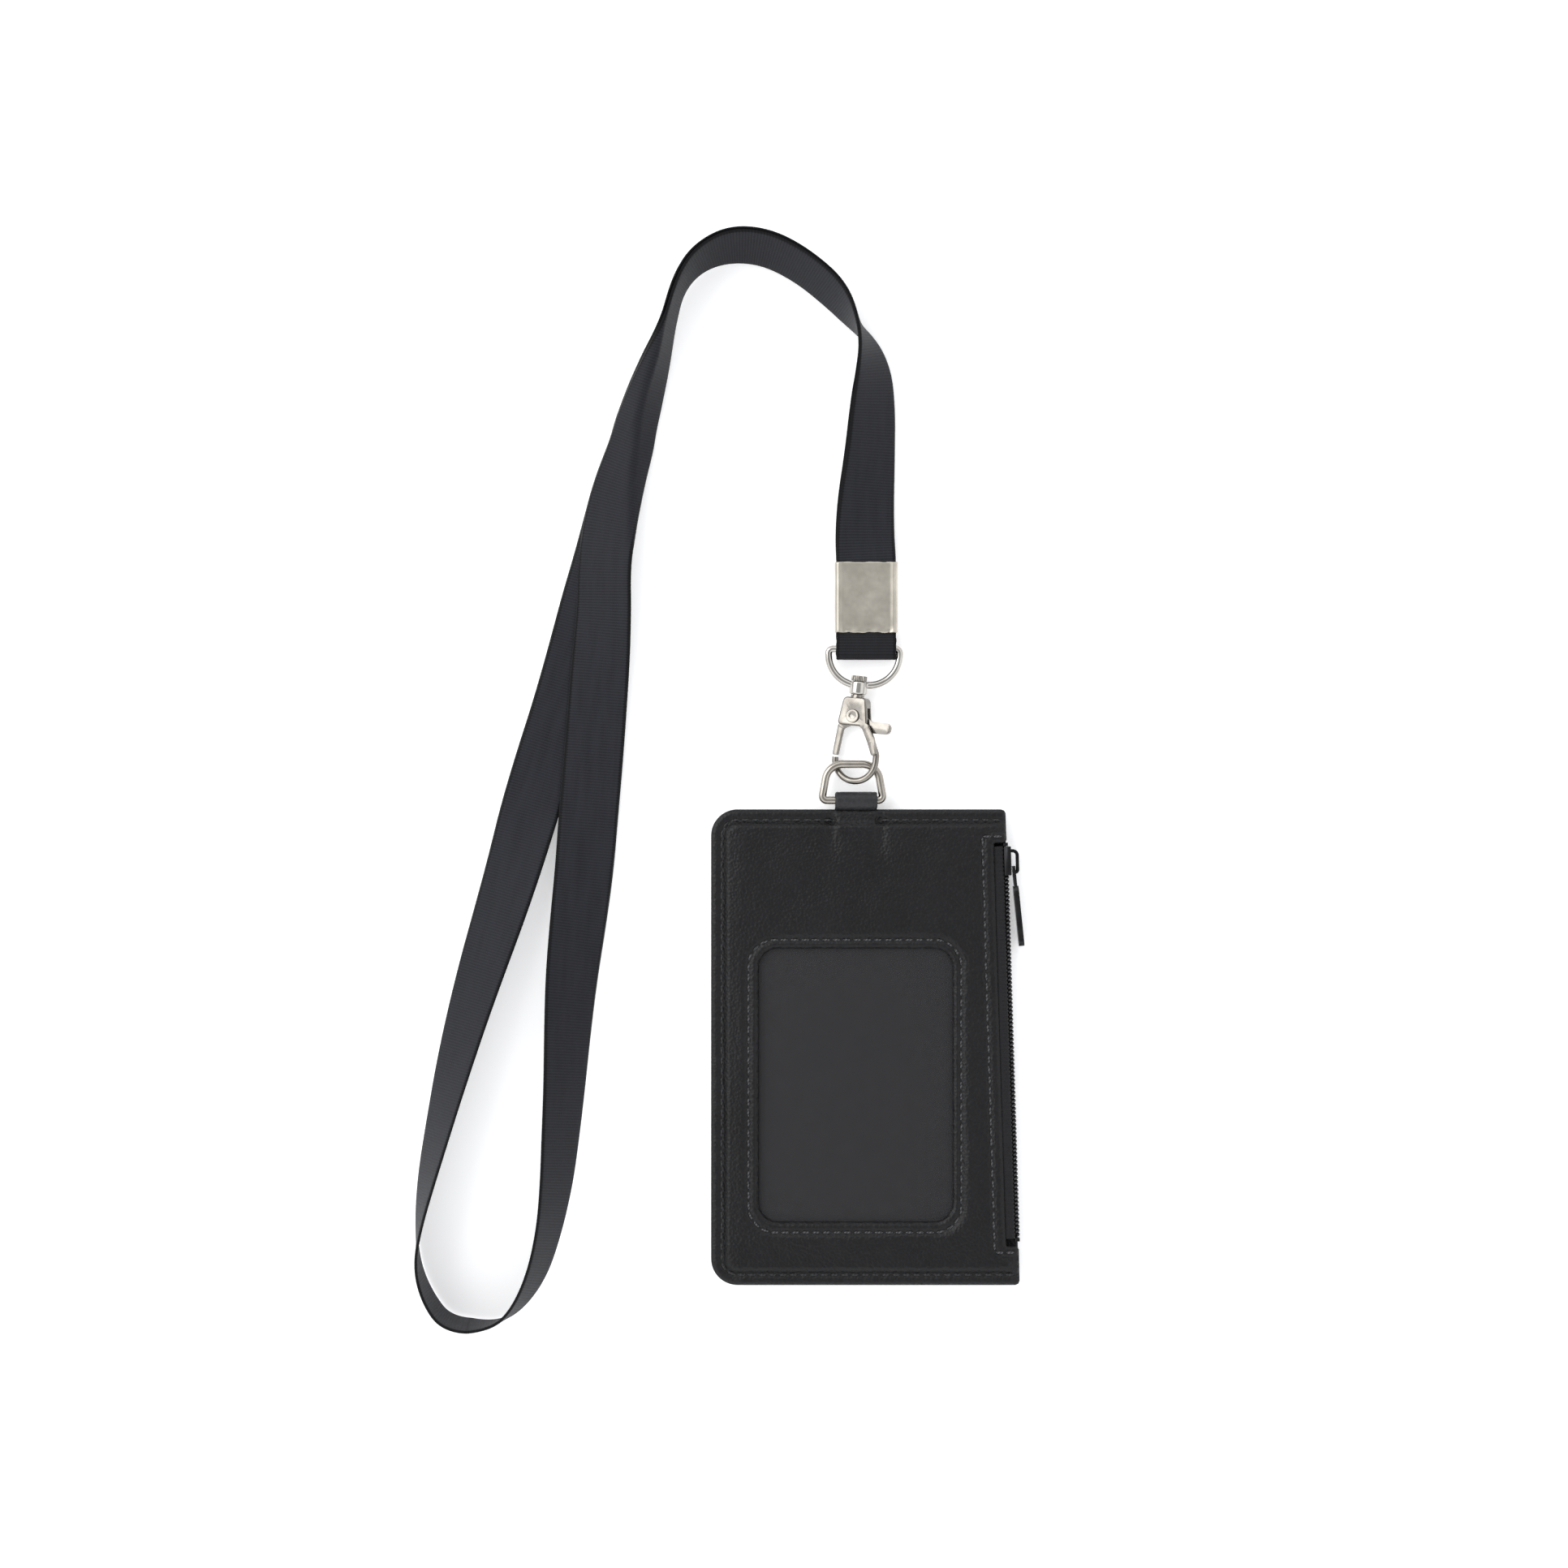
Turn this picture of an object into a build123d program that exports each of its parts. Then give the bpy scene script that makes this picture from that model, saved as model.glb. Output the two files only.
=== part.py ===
"""Lanyard badge holder: a zipped leather badge wallet with a clear window, hung from a
trigger clasp and a swivel ring on a looped 15 mm strap.

It lies on its back: +Z up, +Y towards the strap, +X towards the zip, origin at the centre of
the wallet's back face. Millimetres.
"""

import os
from math import cos, radians, sin, tan

from build123d import *

# wallet
half_width = 37.2  # centre line to the left edge
right_edge = 35.3  # centre line to the right edge, at mid height
edge_lean = 0.03  # how far the zip side leans outwards per millimetre down
top_edge = 57.3
bottom_edge = -57.2
corner_radius = 6.2
leather = 0.9
border = 2.7  # pressed, stitched border around the puffed middle
strip_width = 3.0
back_top = leather
strip_top = 3.2
backing_top = 3.6
front_top = 6.2
front_under = front_top - leather

# window
window_width = 47.1
window_height = 66.2
window_x = -2.45
window_y = -9.0
window_radius = 4.8
rim_width = 2.3  # window edge to its stitching
rim_top = 5.7
sheet_thickness = 0.3
sheet_overlap = 5.0

# zip, drawn about the middle of its chain, which faces outwards from the wallet's side
zip_x = 34.55
zip_z = 3.1
zip_lean = 1.72  # degrees
notch_top = 49.5
notch_bottom = -48.0
leather_gap = 2.4  # chain to the leather's edge
tape_thickness = 0.3
tape_reach = 7.2
tape_height = 1.9
coil_depth = 1.2
coil_half = 1.75
seam_half = 0.35
chain_top = 48.6
chain_bottom = -46.0
stop_length = 0.8
inner_limit = 8.0  # how far the wallet's inner layers stay from the chain

# slider and pull
slider_length = 7.0
slider_top = 48.5
slider_half = 2.4
plate_inner = 1.3  # front plate, out from the chain
plate_outer = 1.85
flange_in = 0.15  # how near the plate's bent sides come to the tapes
flange_thickness = 0.5
rear_thickness = 0.6  # rear plate, behind the chain
rear_x = -0.75
rear_width = 3.0
post_length = 2.0
bridge_wire = 0.8
bridge_width = 1.6
bridge_length = 5.2
bridge_start = 1.1  # bridge's end below the slider's own
bar_out = 2.45
bar_along = 43.3
bar_radius = 0.45
pull_length = 19.0
pull_width = 4.6
pull_thickness = 1.3
pull_splay = 5.84  # degrees from the wallet's own length

# ring on the wallet
ring_x = -3.2
ring_z = 3.45
ring_wire = 0.95
bar_y = 59.65
arch_y = 68.35
bar_half = 7.45
arch_half = 5.9
tab_left = -7.4
tab_right = 2.8
tab_thickness = 1.1
tab_depth = 3.0  # how far the tab's ends reach into the wallet
tab_bore = 0.1  # tab's play round the ring

# trigger clasp, drawn in its own plane with its origin at the rivet
clasp_x = -2.5
clasp_y = 79.9
clasp_z = 3.0
clasp_lean = 6.0  # degrees, in plan
clasp_roll = 24.0  # degrees, about its long axis
housing_bottom = -2.3
housing_top = 4.6
housing_wide = 4.0
housing_narrow = 2.9
housing_half = 1.7
slot_half = 0.9
slot_top = 2.2
slot_length = 10.0
hook_wire = 0.8
hook_right = 6.5
hook_left = -4.1
hook_bottom = -15.6
hook_bow = 5.25
lever_half = 0.5
rivet_radius = 0.8
head_radius = 1.6
head_height = 0.4
dimple_radius = 0.7
dimple_depth = 0.25
spring_radius = 1.25
spring_wire = 0.13
spring_side = 0.7  # the spring's ring, out from the clasp's middle plane
post_radius = 1.1
post_foot = 2.4
collar_radius = 1.6
collar_root = 0.4  # how far the collar's foot goes into the housing
collar_top = 5.2
boss_radius = 2.1
boss_bottom = 5.3
boss_top = 8.5
crown_bottom = 8.6
crown_top = 9.8
crown_radius = 1.85
crown_notches = 8
notch_radius = 0.4
running = 0.05  # clearance of a part that turns on another
press_fit = 0.02  # clearance of a pressed part

# swivel ring
swivel_x = -0.4
swivel_wire = 0.875
swivel_half = 8.6
swivel_bottom = 87.4
swivel_top = 96.2
swivel_bow = 7.4

# strap
ribbon_width = 14.4
loop_width = 14.0
ribbon = 0.8
layer_gap = 0.1  # between the two strands where one lies on the other
strap_x = 0.1
strand_start = 109.0
crimp_bottom = 100.1
crimp_top = 117.2
crimp_wall = 0.6
crimp_width = 15.2
crimp_corner = 1.35
rest_low = 0.45  # centre of a ribbon lying on the table
rest_high = rest_low + ribbon + layer_gap
exit_low = clasp_z - ribbon / 2
exit_high = clasp_z + ribbon / 2

# the strap's route from the crimp: up, over the arch and down the left side
LEG = [(strap_x, strand_start), (strap_x, 124.0), (0.2, 139.0), (1.4, 151.0), (2.4, 162.0)]
ARCH = [(0.4, 172.0), (-7.5, 182.5), (-19.5, 189.5), (-32.0, 190.8), (-42.0, 185.0), (-48.8, 174.0)]
DESCENT = [(-54.6, 157.0), (-59.4, 138.0)]
UPPER_RUN = [(-62.6, 116.0), (-64.2, 92.0), (-66.4, 62.0), (-69.6, 32.0), (-72.0, 8.0), (-72.6, -5.0)]
LOWER_RUN = [(-64.0, 116.0), (-71.4, 90.0), (-79.6, 61.0), (-88.2, 32.0), (-95.2, 9.0), (-99.0, -5.0)]
BEND = [
    (-99.0, -5.0),
    (-103.4, -21.0),
    (-107.0, -37.0),
    (-109.3, -53.0),
    (-104.9, -63.6),
    (-95.5, -68.5),
    (-86.0, -66.3),
    (-79.3, -57.6),
    (-75.8, -44.0),
    (-73.6, -24.0),
    (-72.6, -5.0),
]


def edge_x(y, inset=0.0):
    """The wallet's leaning right edge at a height y."""
    return right_edge - edge_lean * y - inset


def chain_x(y, out=0.0):
    """A line that leans with the zip, a distance out from its chain."""
    return zip_x - edge_lean * y + out


def outline(height, inset=0.0):
    """The wallet's outline, drawn in all round by inset, at a height."""
    low = bottom_edge + inset
    high = top_edge - inset
    left = -half_width + inset
    rounding = max(corner_radius - inset, 1.0)
    with BuildSketch(Plane.XY.offset(height)) as face:
        with BuildLine():
            FilletPolyline(
                (left, low),
                (edge_x(low, inset), low),
                (edge_x(high, inset), high),
                (left, high),
                radius=[rounding, 1.5, 0.8, rounding],
                close=True,
            )
        make_face()
    return face.sketch


def zip_side(height, out, low=notch_bottom, high=notch_top):
    """The area from a line that leans with the zip to past the wallet's right edge."""
    past = 12.0
    with BuildSketch(Plane.XY.offset(height)) as face:
        with BuildLine():
            Polyline(
                (chain_x(low, out), low),
                (chain_x(low, past), low),
                (chain_x(high, past), high),
                (chain_x(high, out), high),
                close=True,
            )
        make_face()
    return face.sketch


def inner_area(height, inset, out):
    """An inner layer of the wallet: inset on three sides, and clear of the zip on the fourth."""
    low = bottom_edge + inset
    high = top_edge - inset
    left = -half_width + inset
    with BuildSketch(Plane.XY.offset(height)) as face:
        with BuildLine():
            FilletPolyline(
                (left, low),
                (chain_x(low, out), low),
                (chain_x(high, out), high),
                (left, high),
                radius=[4.0, 1.5, 1.5, 4.0],
                close=True,
            )
        make_face()
    return face.sketch


def window_area(height, grow=0.0):
    """The window's rounded rectangle, grown all round."""
    with BuildSketch(Plane.XY.offset(height)) as face:
        with Locations((window_x, window_y)):
            RectangleRounded(
                window_width + 2 * grow,
                window_height + 2 * grow,
                window_radius + grow,
            )
    return face.sketch


# --- wallet, from the back to the front ---

with BuildPart() as back_panel:
    extrude(outline(0), amount=leather)
    extrude(zip_side(0, -leather_gap), amount=leather, mode=Mode.SUBTRACT)
    fillet(back_panel.edges().group_by(Axis.Z)[0], radius=0.35)
back_panel.part.label = "back_panel"

board_thickness = 0.6
with BuildPart() as back_board:
    extrude(inner_area(back_top, strip_width + 0.5, -inner_limit), amount=board_thickness)
back_board.part.label = "back_board"

lining_thickness = 0.3
with BuildPart() as pocket_lining:
    extrude(
        inner_area(back_top + board_thickness, strip_width + 0.2, -inner_limit),
        amount=lining_thickness,
    )
pocket_lining.part.label = "pocket_lining"

with BuildPart() as edge_strip:
    extrude(outline(back_top), amount=strip_top - back_top)
    extrude(outline(back_top, strip_width), amount=strip_top - back_top, mode=Mode.SUBTRACT)
    extrude(
        zip_side(back_top, -inner_limit, notch_bottom - 0.5, notch_top + 0.5),
        amount=strip_top - back_top,
        mode=Mode.SUBTRACT,
    )
    with BuildSketch(Plane.XY.offset(strip_top - 2 * tab_thickness)):
        with Locations(((tab_left + tab_right) / 2, top_edge)):
            Rectangle(tab_right - tab_left, 3 * strip_width)
    extrude(amount=2 * tab_thickness, mode=Mode.SUBTRACT)
edge_strip.part.label = "edge_strip"

with BuildPart() as card_backing:
    extrude(outline(strip_top), amount=backing_top - strip_top)
    extrude(
        zip_side(strip_top, -inner_limit, notch_bottom - 0.5, notch_top + 0.5),
        amount=backing_top - strip_top,
        mode=Mode.SUBTRACT,
    )
card_backing.part.label = "card_backing"

sheet_top = front_under - 0.5
with BuildPart() as window_sheet:
    extrude(window_area(sheet_top - sheet_thickness, sheet_overlap), amount=sheet_thickness)
window_sheet.part.label = "window_sheet"

with BuildPart() as front_foam:
    extrude(
        inner_area(sheet_top, border + leather + 0.4, -inner_limit),
        amount=front_under - sheet_top,
    )
    extrude(window_area(sheet_top, rim_width + 0.2), amount=front_under - sheet_top, mode=Mode.SUBTRACT)
front_foam.part.label = "front_foam"

with BuildPart() as front_panel:
    extrude(inner_area(backing_top, border, -leather_gap), amount=front_top - backing_top)
    puffed = front_panel.edges().group_by(Axis.Z)[-1]
    fillet(puffed, radius=0.8)
    extrude(outline(backing_top), amount=leather)
    extrude(
        inner_area(backing_top, border + leather, -leather_gap - leather),
        amount=front_under - backing_top,
        mode=Mode.SUBTRACT,
    )
    extrude(
        zip_side(backing_top, -leather_gap - 2 * leather, notch_bottom + leather, notch_top - leather),
        amount=front_under - backing_top,
        mode=Mode.SUBTRACT,
    )
    extrude(zip_side(backing_top, -leather_gap), amount=2 * front_top, mode=Mode.SUBTRACT)
    extrude(window_area(rim_top, rim_width), amount=front_top, mode=Mode.SUBTRACT)
    extrude(window_area(sheet_top, rim_width), amount=rim_top - sheet_top)
    extrude(window_area(sheet_top), amount=front_top, mode=Mode.SUBTRACT)
front_panel.part.label = "front_panel"

with BuildPart() as ring_tab:
    with BuildSketch(Plane.YZ.offset(tab_left)):
        with Locations((bar_y, ring_z)):
            Circle(ring_wire + tab_bore + tab_thickness)
        with Locations((top_edge - tab_depth / 2, strip_top - tab_thickness)):
            Rectangle(tab_depth, 2 * tab_thickness)
        with Locations(((top_edge + bar_y) / 2, ring_z - tab_thickness)):
            Rectangle(bar_y - top_edge, 2 * tab_thickness)
        with Locations((bar_y, ring_z)):
            Circle(ring_wire + tab_bore, mode=Mode.SUBTRACT)
    extrude(amount=tab_right - tab_left)
ring_tab.part.label = "ring_tab"

# --- zip ---

lean_out = (cos(radians(zip_lean)), sin(radians(zip_lean)), 0)
lean_down = (sin(radians(zip_lean)), -cos(radians(zip_lean)), 0)


def chain_point(along, out=0.0):
    """A point a distance along the zip, up from its middle, and out from its chain."""
    x = zip_x - along * lean_down[0] + out * lean_out[0]
    y = -along * lean_down[1] + out * lean_out[1]
    return (x, y, zip_z)


def chain_section(along):
    """The plane across the zip: x outwards, y up, extruding down the zip."""
    return Plane(origin=chain_point(along), x_dir=lean_out, z_dir=lean_down)


def mirrored(side, corners):
    """Corners drawn for the front half of the zip, turned over for the back half."""
    return [(x, side * y) for x, y in corners]


chain_length = chain_top - chain_bottom


def tape(side):
    """One tape: flat under the leather, then turned down to the chain."""
    corners = [
        (-tape_reach, tape_height),
        (-tape_thickness, tape_height),
        (-tape_thickness, seam_half),
        (0, seam_half),
        (0, tape_height + tape_thickness),
        (-tape_reach, tape_height + tape_thickness),
    ]
    with BuildPart() as piece:
        with BuildSketch(chain_section(chain_top)):
            with BuildLine():
                FilletPolyline(*mirrored(side, corners), radius=[0, 0.4, 0, 0, 0.7, 0], close=True)
            make_face()
        extrude(amount=chain_length)
    return piece.part


def coil_row(side):
    """One row of the zip's coil, as a plain bar of its outer size."""
    middle = side * (seam_half + coil_half) / 2
    with BuildPart() as piece:
        with BuildSketch(chain_section(chain_top)):
            with Locations((coil_depth / 2, middle)):
                Rectangle(coil_depth, coil_half - seam_half)
        extrude(amount=chain_length)
    return piece.part


def zip_stop(along):
    """A stop clamped across both rows at one end of the chain."""
    with BuildPart() as piece:
        with BuildSketch(chain_section(along)):
            with Locations((coil_depth / 2, 0)):
                RectangleRounded(coil_depth, 2 * coil_half, 0.3)
        extrude(amount=stop_length)
    return piece.part


zip_pieces = {
    "zip_tape_front": tape(1),
    "zip_tape_back": tape(-1),
    "zip_coil_front": coil_row(1),
    "zip_coil_back": coil_row(-1),
    "zip_top_stop": zip_stop(chain_top + stop_length),
    "zip_bottom_stop": zip_stop(chain_bottom),
}
for name, piece in zip_pieces.items():
    piece.label = name

side_plane = Plane(origin=(zip_x, 0, zip_z), x_dir=lean_out, z_dir=(0, 0, 1))

with BuildPart() as zip_slider:
    with BuildSketch(chain_section(slider_top)):
        with Locations(((plate_inner + plate_outer) / 2, 0)):
            Rectangle(plate_outer - plate_inner, 2 * slider_half)
        for side in (1, -1):
            with Locations(((flange_in + plate_inner) / 2, side * (slider_half - flange_thickness / 2))):
                Rectangle(plate_inner - flange_in, flange_thickness)
        with Locations((rear_x, 0)):
            Rectangle(rear_thickness, rear_width)
    extrude(amount=slider_length)
    with BuildSketch(chain_section(slider_top - 0.3)):
        with Locations(((plate_inner - rear_thickness) / 2, 0)):
            Rectangle(plate_inner + rear_thickness, flange_thickness)
    extrude(amount=post_length)
    bridge_high = slider_top - bridge_start
    bridge_low = bridge_high - bridge_length
    bridge_out = bar_out + bar_radius + 0.5
    with BuildSketch(side_plane):
        with BuildLine():
            FilletPolyline(
                (plate_inner + 0.2, bridge_high),
                (bridge_out, bridge_high),
                (bridge_out, bridge_low),
                (bar_out - 0.1, bridge_low),
                radius=[1.1, 0.6],
            )
        trace(line_width=bridge_wire)
    extrude(amount=bridge_width / 2, both=True)
zip_slider.part.label = "zip_slider"

bar_centre = chain_point(bar_along, bar_out)
splay_out = (cos(radians(pull_splay)), sin(radians(pull_splay)), 0)
pull_plane = Plane(origin=bar_centre, x_dir=(0, 0, 1), z_dir=splay_out)
eye_length = 4.2
eye_half = 1.2
eye_end = 0.2  # the pull's flat part starts this far past the eye

with BuildPart() as pull_tab:
    with BuildSketch(pull_plane):
        with Locations((0, eye_length / 2 + eye_end)):
            RectangleRounded(pull_width - 0.4, eye_length + 1.3, 0.4)
        with Locations((0, (eye_length + bar_radius) / 2)):
            Rectangle(2 * eye_half, eye_length - bar_radius, mode=Mode.SUBTRACT)
    extrude(amount=bar_radius - 0.1, both=True)
    with BuildSketch(pull_plane):
        with Locations((0, (eye_length + eye_end + pull_length) / 2)):
            RectangleRounded(pull_width, pull_length - eye_length - eye_end, 1.4)
    extrude(amount=pull_thickness / 2, both=True)
pull_tab.part.label = "pull_tab"

# --- ring on the wallet ---

with BuildPart() as holder_ring:
    with BuildLine() as ring_line:
        FilletPolyline(
            (ring_x - bar_half, bar_y, ring_z),
            (ring_x + bar_half, bar_y, ring_z),
            (ring_x + arch_half, arch_y, ring_z),
            (ring_x - arch_half, arch_y, ring_z),
            radius=[1.1, 1.1, 4.2, 4.2],
            close=True,
        )
    with BuildSketch(Plane(origin=ring_line.line @ 0, z_dir=ring_line.line % 0)):
        Circle(ring_wire)
    sweep()
holder_ring.part.label = "holder_ring"

# --- trigger clasp ---

lean = radians(clasp_lean)
roll = radians(clasp_roll)
across = (cos(roll) * cos(lean), -cos(roll) * sin(lean), sin(roll))
facing = (-sin(roll) * cos(lean), sin(roll) * sin(lean), cos(roll))
along = (sin(lean), cos(lean), 0)
clasp_plane = Plane(origin=(clasp_x, clasp_y, clasp_z), x_dir=across, z_dir=facing)


def axis_plane(height):
    """A plane across the clasp's long axis, a height above the rivet."""
    origin = (clasp_x + height * along[0], clasp_y + height * along[1], clasp_z)
    return Plane(origin=origin, x_dir=across, z_dir=along)


def local_point(x, y, z):
    """A point drawn in the clasp's own plane, in the part's frame."""
    return clasp_plane.from_local_coords(Vector(x, y, z))


clasp_axis = Axis(local_point(0, 0, 0), along)


with BuildPart() as clasp_body:
    with BuildSketch(clasp_plane):
        with BuildLine():
            FilletPolyline(
                (-housing_wide, housing_bottom),
                (housing_wide, housing_bottom),
                (housing_narrow, housing_top),
                (-housing_narrow, housing_top),
                radius=[0.9, 0.9, 1.2, 1.2],
                close=True,
            )
        make_face()
    extrude(amount=housing_half, both=True)
    fillet(clasp_body.edges().filter_by(lambda e: e.geom_type == GeomType.LINE), radius=0.45)
    with BuildSketch(axis_plane(housing_top - collar_root)):
        Circle(collar_radius)
    extrude(amount=collar_top - housing_top + collar_root)
    with BuildSketch(clasp_plane):
        with Locations((0, slot_top - slot_length / 2)):
            Rectangle(2 * slot_length, slot_length)
    extrude(amount=slot_half, both=True, mode=Mode.SUBTRACT)
    with BuildSketch(clasp_plane.offset(slot_half)):
        with BuildLine():
            FilletPolyline(
                (1.8, -1.4),
                (3.9, -1.4),
                (6.1, -4.8),
                (7.1, -8.6),
                (5.9, -9.2),
                (4.5, -6.0),
                (3.0, -3.2),
                radius=[0.3, 1.5, 1.5, 0.5, 0.5, 1.5, 1.0],
                close=True,
            )
        make_face()
    extrude(amount=housing_half - slot_half)
    with BuildLine() as hook_line:
        FilletPolyline(
            local_point(5.4, -5.6, 0.95),
            local_point(hook_right, -8.8, 0),
            local_point(hook_right, hook_bottom, 0),
            local_point(hook_left, hook_bottom, 0),
            local_point(hook_left, -10.2, 0),
            radius=[2.0, hook_bow, hook_bow],
        )
    with BuildSketch(Plane(origin=hook_line.line @ 0, z_dir=hook_line.line % 0)):
        Circle(hook_wire)
    sweep()
    with BuildSketch(clasp_plane):
        Circle(rivet_radius + press_fit)
    extrude(amount=2 * housing_half, both=True, mode=Mode.SUBTRACT)
    with BuildSketch(axis_plane(post_foot)):
        Circle(post_radius + press_fit)
    extrude(amount=boss_bottom - post_foot, mode=Mode.SUBTRACT)
clasp_body.part.label = "clasp_body"

with BuildPart() as clasp_rivet:
    with BuildSketch(clasp_plane):
        Circle(rivet_radius)
    extrude(amount=housing_half, both=True)
    with BuildSketch(clasp_plane.offset(housing_half)):
        Circle(head_radius)
    extrude(amount=head_height)
    fillet(clasp_rivet.edges().filter_by(GeomType.CIRCLE).sort_by(SortBy.RADIUS)[-1], radius=0.15)
    with BuildSketch(clasp_plane.offset(housing_half + head_height - dimple_depth)):
        Circle(dimple_radius)
    extrude(amount=head_height, mode=Mode.SUBTRACT)
    with BuildSketch(clasp_plane.offset(-housing_half)):
        Circle(head_radius - 0.2)
    extrude(amount=-head_height)
clasp_rivet.part.label = "clasp_rivet"

with BuildPart() as gate_lever:
    with BuildSketch(clasp_plane):
        Circle(1.9)
        with BuildLine():
            FilletPolyline(
                (-1.6, 0.6),
                (-4.1, -2.4),
                (-4.8, -9.7),
                (-3.5, -9.7),
                (-2.7, -3.2),
                (0.4, -1.7),
                radius=[0.3, 1.0, 0.3, 0.3, 1.0, 0.3],
                close=True,
            )
        make_face()
        with BuildLine():
            FilletPolyline(
                (0.9, 1.2),
                (4.6, -0.9),
                (9.6, -0.9),
                (9.6, -3.7),
                (3.6, -3.7),
                (0.2, -1.6),
                radius=[0.3, 1.0, 1.3, 1.3, 1.0, 0.3],
                close=True,
            )
        make_face()
        Circle(rivet_radius + running, mode=Mode.SUBTRACT)
    extrude(amount=lever_half, both=True)
gate_lever.part.label = "gate_lever"

with BuildPart() as gate_spring:
    with BuildSketch(Plane(origin=local_point(spring_radius, 0, spring_side), z_dir=along)):
        Circle(spring_wire)
    revolve(axis=Axis(local_point(0, 0, 0), facing))
    with BuildSketch(Plane(origin=local_point(spring_radius, 0, spring_side), z_dir=along)):
        Circle(spring_wire)
    extrude(amount=slot_top)
gate_spring.part.label = "gate_spring"

with BuildPart() as swivel_post:
    with BuildSketch(axis_plane(post_foot)):
        Circle(post_radius)
    extrude(amount=crown_bottom - post_foot)
    with BuildSketch(axis_plane(crown_bottom)):
        Circle(crown_radius)
        with PolarLocations(crown_radius + 0.1, crown_notches):
            Circle(notch_radius, mode=Mode.SUBTRACT)
    extrude(amount=crown_top - crown_bottom)
swivel_post.part.label = "swivel_post"

with BuildPart() as swivel_ring:
    with BuildLine() as swivel_line:
        FilletPolyline(
            (swivel_x - swivel_half, swivel_top, clasp_z),
            (swivel_x + swivel_half, swivel_top, clasp_z),
            (swivel_x + swivel_half, swivel_bottom, clasp_z),
            (swivel_x - swivel_half, swivel_bottom, clasp_z),
            radius=[1.1, 1.1, swivel_bow, swivel_bow],
            close=True,
        )
    with BuildSketch(Plane(origin=swivel_line.line @ 0, z_dir=swivel_line.line % 0)):
        Circle(swivel_wire)
    sweep()
    with BuildSketch(clasp_plane) as boss_face:
        with Locations((boss_radius / 2, (boss_bottom + boss_top) / 2)):
            Rectangle(boss_radius, boss_top - boss_bottom)
        fillet(boss_face.vertices().group_by(Axis.X)[-1], radius=0.5)
    revolve(axis=clasp_axis)
    with BuildSketch(axis_plane(boss_bottom - 1)):
        Circle(post_radius + running)
    extrude(amount=boss_top - boss_bottom + 2, mode=Mode.SUBTRACT)
swivel_ring.part.label = "swivel_ring"

# --- crimp and strap ---

loop_nose = swivel_top - 1.0
loop_shoulder = swivel_top + 1.6
loop_neck = crimp_bottom - 0.8
loop_half = swivel_wire + running + ribbon
with BuildPart() as ribbon_loop:
    with BuildSketch(Plane.YZ.offset(strap_x - loop_width / 2)):
        with BuildLine():
            FilletPolyline(
                (loop_nose, clasp_z + loop_half),
                (loop_shoulder, clasp_z + loop_half),
                (loop_neck, clasp_z + ribbon),
                (strand_start, clasp_z + ribbon),
                (strand_start, clasp_z - ribbon),
                (loop_neck, clasp_z - ribbon),
                (loop_shoulder, clasp_z - loop_half),
                (loop_nose, clasp_z - loop_half),
                radius=[0, 0.8, 0.8, 0, 0, 0.8, 0.8, 0],
                close=True,
            )
        make_face()
        with Locations((loop_nose, clasp_z)):
            Circle(loop_half)
        with Locations((swivel_top, clasp_z)):
            Circle(swivel_wire + running, mode=Mode.SUBTRACT)
    extrude(amount=loop_width)
ribbon_loop.part.label = "ribbon_loop"

with BuildPart() as crimp:
    with BuildSketch(Plane.XZ.offset(-crimp_top)):
        with Locations((strap_x, clasp_z)):
            RectangleRounded(crimp_width, 2 * ribbon + 2 * crimp_wall, crimp_corner)
            Rectangle(ribbon_width, 2 * ribbon, mode=Mode.SUBTRACT)
    extrude(amount=crimp_top - crimp_bottom)
crimp.part.label = "crimp"


def with_heights(points, heights):
    """Points in plan, each with its own height."""
    return [Vector(x, y, z) for (x, y), z in zip(points, heights)]


def corner_radii(points):
    """One arc for each corner: 0.45 of the shorter run, over the tangent of half the turn."""
    radii = []
    for before, here, after in zip(points, points[1:], points[2:]):
        run_in = here - before
        run_out = after - here
        half_turn = radians(run_in.get_angle(run_out)) / 2
        radii.append(0.45 * min(run_in.length, run_out.length) / tan(half_turn))
    return radii


def strand(label, points, width, thickness):
    """A ribbon of a width and a thickness (in plan and in height) along a route."""
    radii = corner_radii(points)
    with BuildPart() as piece:
        with BuildLine() as route:
            FilletPolyline(*points, radius=radii)
        start = route.line @ 0
        direction = route.line % 0
        side = Vector(0, 0, 1).cross(direction)
        with BuildSketch(Plane(origin=start, x_dir=side, z_dir=direction)):
            Rectangle(width, thickness)
        sweep()
    length = route.wire().length
    ratio = piece.part.volume / (width * thickness * length)
    print(label, "length", round(length, 1), "radii", [round(r, 1) for r in radii])
    print(label, "volume over section times length", round(ratio, 4))
    piece.part.label = label
    return piece.part


upper_plan = LEG + ARCH + DESCENT + UPPER_RUN
lower_plan = LEG + ARCH + DESCENT + LOWER_RUN
step_up = ribbon + layer_gap
leg_heights = [exit_low, exit_low, exit_low - 1.0, rest_low + 0.4, rest_low + 0.1]
lower_heights = leg_heights + [rest_low] * (len(lower_plan) - len(LEG))
upper_heights = [z + step_up for z in lower_heights[:-2]] + [rest_high, rest_high]
upper_heights[:2] = [exit_high, exit_high]
lower_points = with_heights(lower_plan, lower_heights)
upper_points = with_heights(upper_plan, upper_heights)
bend_points = with_heights(BEND, [ribbon_width / 2] * len(BEND))
strands = [
    strand("strand_lower", lower_points, ribbon_width, ribbon),
    strand("strand_upper", upper_points, ribbon_width, ribbon),
    strand("strand_bend", bend_points, ribbon, ribbon_width),
]

# --- export ---

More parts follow.
